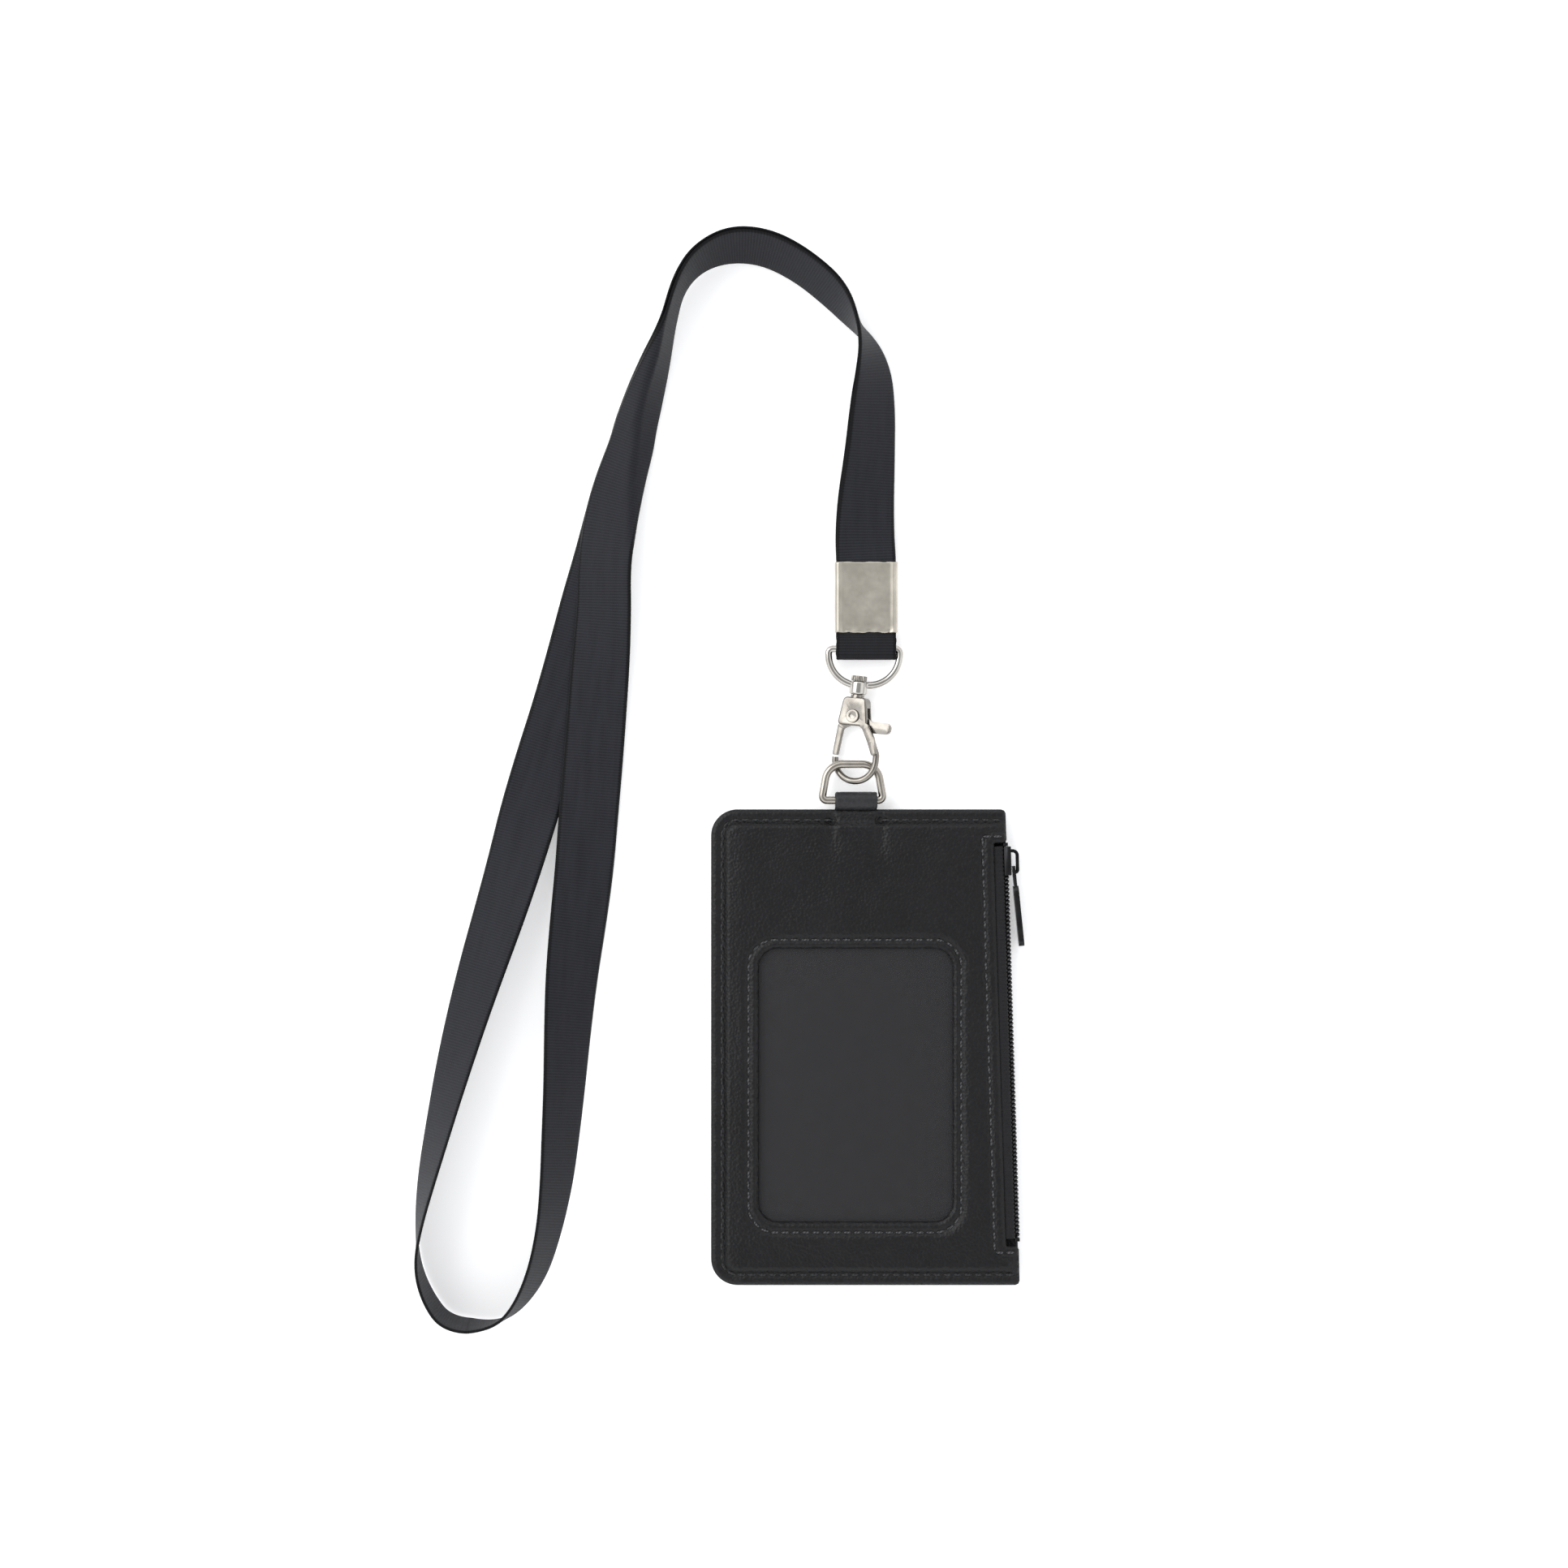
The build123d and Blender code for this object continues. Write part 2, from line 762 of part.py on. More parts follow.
os.makedirs("parts", exist_ok=True)
built = [
    back_panel,
    back_board,
    pocket_lining,
    edge_strip,
    card_backing,
    window_sheet,
    front_foam,
    front_panel,
    ring_tab,
    zip_slider,
    pull_tab,
    holder_ring,
    clasp_body,
    clasp_rivet,
    gate_lever,
    gate_spring,
    swivel_post,
    swivel_ring,
    ribbon_loop,
    crimp,
]
solids = [piece.part for piece in built] + list(zip_pieces.values()) + strands
for solid in solids:
    export_step(solid, "parts/" + solid.label + ".step")
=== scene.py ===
"""Looks for the lanyard badge holder: a zipped leather badge wallet on a trigger clasp and a
looped strap, lying on its back on a pale table and seen from straight above. Metres."""

import math

import bpy
import numpy as np
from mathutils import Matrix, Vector, geometry, noise


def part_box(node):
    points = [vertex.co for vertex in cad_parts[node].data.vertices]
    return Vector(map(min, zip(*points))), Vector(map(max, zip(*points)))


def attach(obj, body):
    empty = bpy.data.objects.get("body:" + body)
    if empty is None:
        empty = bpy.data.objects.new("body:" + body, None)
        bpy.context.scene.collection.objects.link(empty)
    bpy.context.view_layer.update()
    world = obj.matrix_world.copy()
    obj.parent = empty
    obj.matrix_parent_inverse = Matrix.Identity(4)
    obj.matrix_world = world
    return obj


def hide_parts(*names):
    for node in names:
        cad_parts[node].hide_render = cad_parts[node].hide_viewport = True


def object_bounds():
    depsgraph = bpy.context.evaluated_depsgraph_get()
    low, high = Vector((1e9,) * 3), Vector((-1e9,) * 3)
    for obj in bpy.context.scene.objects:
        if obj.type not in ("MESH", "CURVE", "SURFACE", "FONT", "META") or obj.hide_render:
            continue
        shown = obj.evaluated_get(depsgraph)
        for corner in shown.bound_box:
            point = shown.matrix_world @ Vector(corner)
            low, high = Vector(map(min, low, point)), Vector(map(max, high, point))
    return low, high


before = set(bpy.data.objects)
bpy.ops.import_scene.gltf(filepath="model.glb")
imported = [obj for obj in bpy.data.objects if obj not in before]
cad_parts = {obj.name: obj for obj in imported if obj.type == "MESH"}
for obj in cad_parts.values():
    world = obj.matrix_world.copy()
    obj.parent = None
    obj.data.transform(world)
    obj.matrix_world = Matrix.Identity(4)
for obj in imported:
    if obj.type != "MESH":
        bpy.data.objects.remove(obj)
cad_low, cad_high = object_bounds()

MM = 0.001

# ---------------------------------------------------------------- helpers


def smooth(t):
    """0 to 1 with a soft start and end."""
    t = np.clip(t, 0.0, 1.0)
    return t * t * (3 - 2 * t)


def bump(d, at, width):
    """A rounded ridge, 1 high, at a distance, in millimetres."""
    return np.exp(-(((d / MM - at) / width) ** 2))


def add_mesh(name, points, faces, material, body=None, coordinates=None):
    """A smooth mesh object, flat only at its end caps, that rides on a body.

    coordinates are (across, along) per point.
    """
    mesh = bpy.data.meshes.new(name)
    mesh.from_pydata([tuple(p) for p in points], [], [tuple(f) for f in faces])
    mesh.polygons.foreach_set("use_smooth", [len(f) < 6 for f in faces])
    if coordinates is not None:
        layer = mesh.uv_layers.new(name="along")
        index = np.zeros(len(mesh.loops), np.int32)
        mesh.loops.foreach_get("vertex_index", index)
        layer.data.foreach_set("uv", np.asarray(coordinates, np.float32)[index].ravel())
    mesh.materials.append(material)
    mesh.update()
    piece = bpy.data.objects.new(name, mesh)
    bpy.context.scene.collection.objects.link(piece)
    if body:
        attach(piece, body)
    return piece


def rings_to_faces(rings, sides, closed=False):
    """Quads between rings of points that follow each other, with both ends capped."""
    faces = []
    for i in range(rings if closed else rings - 1):
        here = i * sides
        after = (i + 1) % rings * sides
        for j in range(sides):
            k = (j + 1) % sides
            faces.append((here + j, here + k, after + k, after + j))
    if not closed:
        faces.append(tuple(reversed(range(sides))))
        faces.append(tuple(range((rings - 1) * sides, rings * sides)))
    return faces


def follow(points, resolution=10):
    """Points along a smooth NURBS line that has these control points."""
    curve = bpy.data.curves.new("line", "CURVE")
    curve.dimensions = "3D"
    spline = curve.splines.new("NURBS")
    spline.points.add(len(points) - 1)
    for point, place in zip(spline.points, points):
        point.co = (*place, 1.0)
    spline.order_u = 3
    spline.use_endpoint_u = True
    curve.resolution_u = resolution
    holder = bpy.data.objects.new("line", curve)
    mesh = bpy.data.meshes.new_from_object(holder)
    line = np.array([v.co for v in mesh.vertices], float)
    bpy.data.meshes.remove(mesh)
    bpy.data.objects.remove(holder)
    bpy.data.curves.remove(curve)
    return line


def directions(line):
    """Unit directions along a line of points."""
    step = np.gradient(line, axis=0)
    return step / np.linalg.norm(step, axis=1)[:, None]


def tube_points(line, radius, sides=8, up=(0.0, 0.0, 1.0)):
    """Rings of points round a line that never runs along up."""
    ahead = directions(line)
    across = np.cross(ahead, up)
    across /= np.linalg.norm(across, axis=1)[:, None]
    over = np.cross(across, ahead)
    angle = np.linspace(0, 2 * math.pi, sides, endpoint=False)
    cos, sin = np.cos(angle)[None, :, None], np.sin(angle)[None, :, None]
    radii = np.broadcast_to(radius, (len(line),))[:, None, None]
    ring = across[:, None] * cos + over[:, None] * sin
    return (line[:, None] + radii * ring).reshape(-1, 3)


# ---------------------------------------------------------------- materials


class Shader:
    """A material with a Principled shader, and short calls that wire its textures."""

    def __init__(self, name, colour, roughness, metallic=0.0, **sockets):
        self.material = bpy.data.materials.new(name)
        self.material.use_nodes = True
        self.tree = self.material.node_tree
        self.shader = self.tree.nodes["Principled BSDF"]
        self.set("Base Color", (*colour, 1.0))
        self.set("Roughness", roughness)
        self.set("Metallic", metallic)
        for socket, value in sockets.items():
            self.set(socket.replace("_", " "), value)
        self.height = None

    def set(self, socket, value):
        self.shader.inputs[socket].default_value = value

    def node(self, kind, **settings):
        made = self.tree.nodes.new(kind)
        for key, value in settings.items():
            if key in made.inputs:
                made.inputs[key].default_value = value
            else:
                setattr(made, key, value)
        return made

    def link(self, source, target):
        self.tree.links.new(source, target)

    def places(self, scale=(1.0, 1.0, 1.0), by_length=False, turn=(0.0, 0.0, 0.0)):
        """Coordinates in metres: the object's own, or across and along a ribbon."""
        source = self.node("ShaderNodeTexCoord").outputs["UV" if by_length else "Object"]
        mapping = self.node("ShaderNodeMapping", Scale=scale, Rotation=turn)
        self.link(source, mapping.inputs["Vector"])
        return mapping.outputs["Vector"]

    def noise(self, scale, places=None, detail=3.0):
        made = self.node("ShaderNodeTexNoise", Scale=scale, Detail=detail, Roughness=0.5)
        self.link(places or self.places(), made.inputs["Vector"])
        return made.outputs["Fac"]

    def cells(self, scale):
        made = self.node("ShaderNodeTexVoronoi", feature="SMOOTH_F1", Scale=scale)
        made.inputs["Smoothness"].default_value = 0.4
        self.link(self.places(), made.inputs["Vector"])
        return made.outputs["Distance"]

    def wave(self, scale, places, direction="X", distortion=0.0):
        made = self.node("ShaderNodeTexWave", bands_direction=direction, Scale=scale)
        made.inputs["Distortion"].default_value = distortion
        self.link(places, made.inputs["Vector"])
        return made.outputs["Fac"]

    def math(self, operation, first, second=0.5):
        made = self.node("ShaderNodeMath", operation=operation)
        for socket, value in zip(made.inputs, (first, second)):
            if isinstance(value, (int, float)):
                socket.default_value = value
            else:
                self.link(value, socket)
        return made.outputs[0]

    def spread(self, factor, low, high, start=0.0, end=1.0):
        """A factor spread to a range of values."""
        made = self.node("ShaderNodeMapRange")
        self.link(factor, made.inputs["Value"])
        ends = {"From Min": start, "From Max": end, "To Min": low, "To Max": high}
        for name, value in ends.items():
            made.inputs[name].default_value = value
        return made.outputs["Result"]

    def colours(self, factor, stops):
        """Base colour that changes with a factor: stops are (place, colour)."""
        ramp_node = self.node("ShaderNodeValToRGB")
        elements = ramp_node.color_ramp.elements
        while len(elements) < len(stops):
            elements.new(0.5)
        for element, (place, colour) in zip(elements, stops):
            element.position = place
            element.color = (*colour, 1.0)
        self.link(factor, ramp_node.inputs["Fac"])
        self.link(ramp_node.outputs["Color"], self.shader.inputs["Base Color"])

    def roughen(self, factor, low, high):
        self.link(self.spread(factor, low, high), self.shader.inputs["Roughness"])

    def emboss(self, factor, depth):
        """Adds relief of a depth in metres."""
        made = self.node("ShaderNodeBump", Distance=depth, Strength=1.0)
        self.link(factor, made.inputs["Height"])
        if self.height is not None:
            self.link(self.height, made.inputs["Normal"])
        self.height = made.outputs["Normal"]
        self.link(self.height, self.shader.inputs["Normal"])


def leather_material(name, dark, light, grain=1.0):
    """Pressed leather: fine pebbles, soft mottling and a worn sheen."""
    m = Shader(name, light, 0.5, Specular_IOR_Level=0.27)
    pebbles = m.cells(1500.0)
    mottle = m.noise(90.0, detail=5.0)
    # Colour: the leather's own mottling, plus painted shade that darkens the hollows of the pebbled
    # grain.
    m.colours(m.math("ADD", m.math("MULTIPLY", mottle, 0.6), m.math("MULTIPLY", pebbles, 0.35)),
              [(0.2, dark), (0.75, light)])
    m.roughen(m.noise(400.0), 0.34, 0.50)
    m.emboss(m.noise(2600.0, detail=4.0), 0.00004 * grain)
    m.emboss(pebbles, 0.00013 * grain)
    m.emboss(m.noise(160.0, detail=2.0), 0.00007 * grain)
    return m.material


def ribbon_material(name, dark, light, width):
    """Woven polyester: fine cross ribs, a herringbone of threads, and painted shade that darkens the
    selvedge along each edge.
    """
    m = Shader(name, light, 0.62, Specular_IOR_Level=0.14, Sheen_Weight=0.05, Sheen_Roughness=0.45)
    places = m.places(by_length=True)
    ribs = m.wave(470.0, places, direction="Y", distortion=0.25)
    threads = m.wave(620.0, places, direction="X", distortion=0.2)
    split = m.node("ShaderNodeSeparateXYZ")
    m.link(places, split.inputs["Vector"])
    inset = m.math("ABSOLUTE", split.outputs["X"])
    # Painted shade: within about a millimetre of each edge the colour turns near black, standing in
    # for the shade on the ribbon's sides.
    edge = m.spread(inset, 0.0, 1.0, width / 2 - 1.0 * MM, width / 2 - 0.45 * MM)
    weave = m.math("MULTIPLY", ribs, m.spread(threads, 0.75, 1.0))
    mottle = m.noise(500.0, places=m.places(scale=(1.0, 0.15, 1.0), by_length=True), detail=4.0)
    tone = m.math("ADD", m.math("MULTIPLY", weave, 0.45), m.math("MULTIPLY", mottle, 0.5))
    shaded = m.math("SUBTRACT", tone, m.math("MULTIPLY", edge, 0.6))
    m.colours(shaded, [(0.0, tuple(c * 0.2 for c in dark)), (0.35, dark), (0.85, light)])
    m.roughen(mottle, 0.55, 0.72)
    m.emboss(weave, 0.00007)
    m.emboss(m.noise(3500.0, detail=2.0), 0.00002)
    return m.material


def metal_material(name, dark, light, smoothest, roughest, brushed=False):
    """Plated metal with faint mottling, handling marks and fine scratches."""
    m = Shader(name, light, smoothest, metallic=1.0)
    marks = m.noise(700.0, detail=5.0)
    m.colours(m.noise(220.0, detail=3.0), [(0.3, dark), (0.7, light)])
    m.roughen(marks, smoothest, roughest)
    stretch, depth = ((300.0, 6000.0, 300.0), 6e-6) if brushed else ((2500.0, 400.0, 900.0), 4e-6)
    m.emboss(m.noise(1.0, places=m.places(scale=stretch), detail=3.0), depth)
    m.emboss(m.noise(260.0, detail=1.0), 0.00003)
    return m.material


def woven_material(name, dark, light, pitch):
    """Plain woven tape, such as a zip's."""
    m = Shader(name, light, 0.75, Specular_IOR_Level=0.25, Sheen_Weight=0.1)
    across = m.wave(0.5 / pitch, m.places(), direction="Y", distortion=0.3)
    along = m.wave(0.5 / pitch, m.places(turn=(0.0, 0.0, 0.6)), direction="X", distortion=0.3)
    weave = m.math("MULTIPLY", across, along)
    m.colours(m.math("ADD", m.math("MULTIPLY", weave, 0.6), m.math("MULTIPLY", m.noise(600.0), 0.4)),
              [(0.2, dark), (0.9, light)])
    m.emboss(weave, 0.00008)
    return m.material


def plastic_material(name, dark, light, low, high, relief=0.00002):
    """Moulded or extruded plastic with a slightly uneven gloss."""
    m = Shader(name, light, low, Specular_IOR_Level=0.5)
    m.colours(m.noise(350.0, detail=4.0), [(0.3, dark), (0.8, light)])
    m.roughen(m.noise(900.0), low, high)
    m.emboss(m.noise(1800.0, detail=3.0), relief)
    return m.material


def board_material(name, dark, light, scale):
    """Fibrous board, foam or lining."""
    m = Shader(name, light, 0.9, Specular_IOR_Level=0.2)
    m.colours(m.noise(scale, detail=6.0), [(0.3, dark), (0.75, light)])
    m.emboss(m.noise(scale * 2.0, detail=6.0), 0.00008)
    return m.material


def clear_material(name):
    """Clear soft vinyl, faintly hazed and rubbed."""
    m = Shader(name, (0.03, 0.03, 0.032), 0.1, Alpha=0.3, Specular_IOR_Level=0.6)
    m.roughen(m.noise(60.0, detail=2.0), 0.17, 0.24)
    m.emboss(m.noise(45.0, detail=1.0), 0.00010)
    return m.material


def thread_material(name, dark, light):
    """Twisted sewing thread."""
    m = Shader(name, light, 0.6, Specular_IOR_Level=0.35, Sheen_Weight=0.2)
    twist = m.wave(500.0, m.places(turn=(0.0, 0.0, 0.7)), distortion=0.5)
    m.colours(twist, [(0.2, dark), (0.9, light)])
    m.emboss(twist, 0.00005)
    return m.material


RIBBON_WIDTH = 14.4 * MM
LOOP_WIDTH = 14.5 * MM

leather = leather_material("leather", (0.0015, 0.0015, 0.0018), (0.0060, 0.0060, 0.0068))
back_leather = leather_material(
    "back_leather", (0.010, 0.010, 0.011), (0.021, 0.021, 0.023), grain=1.2
)
tab_leather = leather_material(
    "tab_leather", (0.014, 0.014, 0.016), (0.030, 0.030, 0.033), grain=0.7
)
edge_paint = leather_material("edge_paint", (0.008, 0.008, 0.009), (0.016, 0.016, 0.018), grain=0.5)
ribbon_weave = ribbon_material(
    "ribbon_weave", (0.0140, 0.0144, 0.0180), (0.0230, 0.0237, 0.0290), RIBBON_WIDTH
)
loop_weave = ribbon_material(
    "loop_weave", (0.0085, 0.0087, 0.0105), (0.0165, 0.0170, 0.0200), LOOP_WIDTH
)
bright_nickel = metal_material("bright_nickel", (0.42, 0.40, 0.37), (0.56, 0.54, 0.50), 0.08, 0.20)
satin_nickel = metal_material("satin_nickel", (0.30, 0.275, 0.24), (0.43, 0.40, 0.355), 0.18, 0.34)
crimp_nickel = metal_material(
    "crimp_nickel", (0.45, 0.42, 0.36), (0.56, 0.52, 0.45), 0.30, 0.46, brushed=True
)
clasp_nickel = metal_material("clasp_nickel", (0.17, 0.157, 0.14), (0.31, 0.29, 0.26), 0.14, 0.27)
dark_metal = metal_material("dark_metal", (0.020, 0.020, 0.021), (0.045, 0.045, 0.047), 0.22, 0.40)
slider_metal = metal_material(
    "slider_metal", (0.014, 0.014, 0.015), (0.045, 0.045, 0.046), 0.18, 0.32
)
spring_steel = metal_material("spring_steel", (0.35, 0.35, 0.36), (0.55, 0.55, 0.56), 0.2, 0.35)
tape_weave = woven_material("tape_weave", (0.006, 0.006, 0.007), (0.016, 0.016, 0.018), 0.5 * MM)
coil_nylon = plastic_material(
    "coil_nylon", (0.012, 0.012, 0.013), (0.034, 0.034, 0.037), 0.26, 0.42
)
backing_film = plastic_material(
    "backing_film", (0.004, 0.004, 0.005), (0.012, 0.012, 0.013), 0.5, 0.6, 0.000001
)
board_fibre = board_material("board_fibre", (0.05, 0.045, 0.04), (0.11, 0.10, 0.09), 900.0)
foam_cells = board_material("foam_cells", (0.02, 0.02, 0.02), (0.06, 0.06, 0.06), 1500.0)
lining_fabric = woven_material(
    "lining_fabric", (0.010, 0.010, 0.011), (0.028, 0.028, 0.030), 0.6 * MM
)
clear_vinyl = clear_material("clear_vinyl")
dark_thread = thread_material("dark_thread", (0.004, 0.004, 0.005), (0.022, 0.022, 0.024))
# A lighter copy of the same thread: painted highlight for the stitches that catch the light.
highlit_thread = thread_material("highlit_thread", (0.010, 0.010, 0.011), (0.070, 0.070, 0.075))

# ---------------------------------------------------------------- camera, table and lights

VIEW_OFFSET = (15.7 * MM, -1.1 * MM)  # the camera aims this far from the object's middle
CAMERA_HEIGHT = 1.05
VIEW_WIDTH = 378.0 * MM
VIEW_LEVEL = 5.0 * MM  # the height that the view is this wide at
SENSOR = 36.0
SKY_STRENGTH = 1.6
SKY = [(0.12, 0.45), (0.40, 1.0), (0.78, 1.0), (0.94, 0.33)]  # height up the sky, and how bright
SKY_SIDES = {"From Min": -0.5, "From Max": 0.6, "To Min": 1.05, "To Max": 0.88}  # left to right

aim = (cad_low + cad_high) / 2
camera_data = bpy.data.cameras.new("camera")
camera_data.sensor_width = SENSOR
camera_data.lens = SENSOR * (CAMERA_HEIGHT - VIEW_LEVEL) / VIEW_WIDTH
camera = bpy.data.objects.new("camera", camera_data)
camera.location = (aim.x + VIEW_OFFSET[0], aim.y + VIEW_OFFSET[1], CAMERA_HEIGHT)
bpy.context.scene.collection.objects.link(camera)
bpy.context.scene.camera = camera

world = bpy.data.worlds.new("studio")
world.use_nodes = True
sky = world.node_tree
towards = sky.nodes.new("ShaderNodeTexCoord")
upward = sky.nodes.new("ShaderNodeSeparateXYZ")
bands = sky.nodes.new("ShaderNodeValToRGB")
while len(bands.color_ramp.elements) < len(SKY):
    bands.color_ramp.elements.new(0.5)
for element, (place, bright) in zip(bands.color_ramp.elements, SKY):
    element.position = place
    element.color = (0.97 * bright, 0.98 * bright, bright, 1.0)
sky.nodes["Background"].inputs["Strength"].default_value = SKY_STRENGTH
sky.links.new(towards.outputs["Generated"], upward.inputs["Vector"])
sky.links.new(upward.outputs["Z"], bands.inputs["Fac"])
shaded_side = sky.nodes.new("ShaderNodeMapRange")
for socket, value in SKY_SIDES.items():
    shaded_side.inputs[socket].default_value = value
product = sky.nodes.new("ShaderNodeVectorMath")
product.operation = "SCALE"
sky.links.new(upward.outputs["X"], shaded_side.inputs["Value"])
sky.links.new(bands.outputs["Color"], product.inputs["Vector"])
sky.links.new(shaded_side.outputs["Result"], product.inputs["Scale"])
sky.links.new(product.outputs["Vector"], sky.nodes["Background"].inputs["Color"])
bpy.context.scene.world = world
bpy.context.scene.view_settings.view_transform = "Standard"


def make_table():
    """A plain pale table that runs far past the view."""
    reach = 6.0
    m = Shader("table", (0.90, 0.90, 0.90), 0.85, Specular_IOR_Level=0.1, Emission_Strength=0.35)
    m.set("Emission Color", (1.0, 1.0, 1.0, 1.0))
    m.colours(m.noise(3.0), [(0.3, (0.895, 0.895, 0.895)), (0.7, (0.905, 0.905, 0.905))])
    corners = [(-reach, -reach, 0), (reach, -reach, 0), (reach, reach, 0), (-reach, reach, 0)]
    table = add_mesh("table", corners, [(0, 1, 2, 3)], m.material)
    table.location.z = -0.05 * MM


def add_light(name, place, size, power):
    """A square softbox that looks at the object's middle."""
    data = bpy.data.lights.new(name, "AREA")
    data.size = size
    data.energy = power
    light = bpy.data.objects.new(name, data)
    light.location = place
    towards_object = Vector((aim.x, aim.y, 0)) - Vector(place)
    light.rotation_euler = towards_object.to_track_quat("-Z", "Y").to_euler()
    bpy.context.scene.collection.objects.link(light)


make_table()
add_light("key", (-1.30, 0.80, 1.30), 1.40, 15.0)

# ---------------------------------------------------------------- strap

RIBBON = 0.74 * MM
LAYER = 0.83 * MM  # from one strand's middle to that of the strand on it
EXIT_Z = 2.6 * MM  # middle of the lower strand where it leaves the crimp
RIDGE_SOFT = 2.0 * MM  # how gently a folded ribbon turns over its ridge
EDGE_BEAD = 0.05 * MM

# Each row is (x, y, turn, turn past the ridge, ridge, lift). The turns are degrees that the ribbon
# has rolled about its own line, from lying face up at the crimp, for the part before and after a
# ridge that runs along it. The ridge is in millimetres from the ribbon's middle, and lift is how
# high the ribbon's lowest edge is.
SHARED = [
    (0.1, 109.0, 0, 0, 0, 2.2),
    (0.1, 113.0, 0, 0, 0, 2.2),
    (0.1, 117.4, 0, 0, 0, 2.2),
    (-0.3, 123.0, -10, -10, 0, 1.2),
    (-0.2, 131.5, -21, -21, 0, 0.5),
    (0.7, 143.0, -35, -35, 0, 0.1),
    (1.2, 154.4, -44, -44, 0, 0.1),
    (1.0, 164.3, -60, -60, 0, 0.1),
    (-1.8, 172.6, -92, -92, 0, 0.1),
    (-7.0, 180.9, -116, -116, 0, 0.3),
    (-15.0, 187.8, -118, -118, 0, 0.5),
    (-24.0, 192.5, -119, -119, 0, 0.5),
    (-32.8, 193.2, -118, -118, 0, 0.5),
    (-40.2, 189.8, -107, -107, 0, 0.5),
    (-44.8, 183.5, -99, -97, -7, 0.5),
    (-47.2, 174.8, -150, -99, -7, 0.5),
    (-49.1, 165.6, -205, -104, -4.4, 0.6),
    (-52.9, 155.2, -219, -120, -2.0, 0.7),
    (-56.3, 145.2, -217, -130, 0.6, 0.8),
    (-59.7, 134.7, -207, -137, 3.2, 0.8),
    (-62.1, 125.2, -204, -150, 5.6, 0.8),
]
UPPER = [
    (-63.2, 115.5, -206, -200, 7, 0.8),
    (-63.2, 105.0, -202, -202, 0, 0.8),
    (-64.0, 94.1, -190, -190, 0, 0.9),
    (-64.9, 82.0, -184, -184, 0, 0.9),
    (-65.9, 69.0, -180, -180, 0, 1.0),
    (-67.0, 56.0, -174, -174, 0, 1.1),
    (-68.0, 42.9, -167, -167, 0, 0.1),
    (-69.5, 29.9, -158, -158, 0, 0.1),
    (-71.0, 17.0, -148, -148, 0, 0.1),
    (-71.9, 4.0, -139, -139, 0, 0.1),
    (-72.6, -8.9, -132, -132, 0, 0.1),
    (-73.5, -20.9, -127, -127, 0, 0.1),
    (-74.5, -32.8, -121, -121, 0, 0.1),
    (-76.3, -44.3, -113, -113, 0, 0.1),
    (-79.3, -55.0, -108, -108, 0, 0.1),
    (-84.3, -63.2, -99, -99, 0, 0.1),
    (-90.0, -66.7, -90, -90, 0, 0.1),
    (-95.4, -66.9, -83, -83, 0, 0.1),
]
LOWER = [
    (-64.5, 115.1, -196, -190, 7, 0.1),
    (-67.4, 104.2, -180, -180, 0, 0.1),
    (-70.5, 92.6, -180, -180, 0, 0.1),
    (-73.8, 81.1, -180, -180, 0, 0.1),
    (-77.7, 69.0, -180, -180, 0, 0.1),
    (-81.3, 57.0, -187, -187, 0, 0.1),
    (-84.7, 44.5, -199, -199, 0, 0.1),
    (-88.5, 32.0, -207, -207, 0, 0.1),
    (-92.5, 19.5, -215, -215, 0, 0.1),
    (-96.2, 7.1, -223, -223, 0, 0.1),
    (-99.7, -5.9, -231, -231, 0, 0.1),
    (-102.8, -18.8, -240, -240, 0, 0.1),
    (-105.7, -31.3, -249, -249, 0, 0.1),
    (-107.6, -42.2, -260, -260, 0, 0.1),
    (-108.2, -51.5, -270, -270, 0, 0.1),
    (-105.7, -59.7, -276, -276, 0, 0.1),
    (-100.8, -66.3, -278, -278, 0, 0.1),
    (-95.4, -66.9, -277, -277, 0, 0.1),
]


def section(turn, turn_after, ridge, count=25):
    """A ribbon's cross section: places across (sideways, up), and the roll at each."""
    across = np.linspace(-RIBBON_WIDTH / 2, RIBBON_WIDTH / 2, count)
    share = smooth((across - ridge) / RIDGE_SOFT + 0.5)
    roll = np.radians(turn + (turn_after - turn) * share)
    middle = (roll[1:] + roll[:-1]) / 2
    step = np.stack([np.cos(middle), np.sin(middle)], 1) * (across[1] - across[0])
    places = np.concatenate([[(0.0, 0.0)], np.cumsum(step, 0)])
    places -= places[count // 2]
    return across, places, roll


def flat_side(ahead):
    """The level direction on the right of a line that runs ahead."""
    side = np.cross(ahead, (0.0, 0.0, 1.0))
    return side / np.linalg.norm(side, axis=-1, keepdims=True)


def control_points(rows):
    """Control points in metres, each high enough for its lowest edge to be at its lift."""
    plan = np.array([row[:2] for row in rows]) * MM
    points = []
    for i, (x, y, turn, turn_after, ridge, lift) in enumerate(rows):
        _, places, _ = section(turn, turn_after, ridge * MM)
        height = lift * MM - places[:, 1].min() + RIBBON / 2
        points.append((plan[i][0], plan[i][1], height))
    return np.array(points)


# Where the lower strand parts from the other: row, millimetres further out, and degrees less roll.
PARTED = {6: (0.1, 2), 7: (0.3, 4), 8: (0.6, 9), 9: (0.5, 7), 10: (0.2, 3)}


def laid_beyond(points, rows):
    """The same stretch for the strand that lies against the far face of another."""
    ahead = directions(points)
    side = flat_side(ahead)
    moved = []
    for i, (place, row, across) in enumerate(zip(points, rows, side)):
        roll = math.radians((row[2] + row[3]) / 2)
        apart = LAYER / max(0.6, math.cos(math.radians(row[3] - row[2]) / 2))
        apart += PARTED.get(i, (0, 0))[0] * MM
        shift = across * -math.sin(roll) + np.array((0.0, 0.0, 1.0)) * math.cos(roll)
        moved.append(place + apart * shift)
    return np.array(moved)


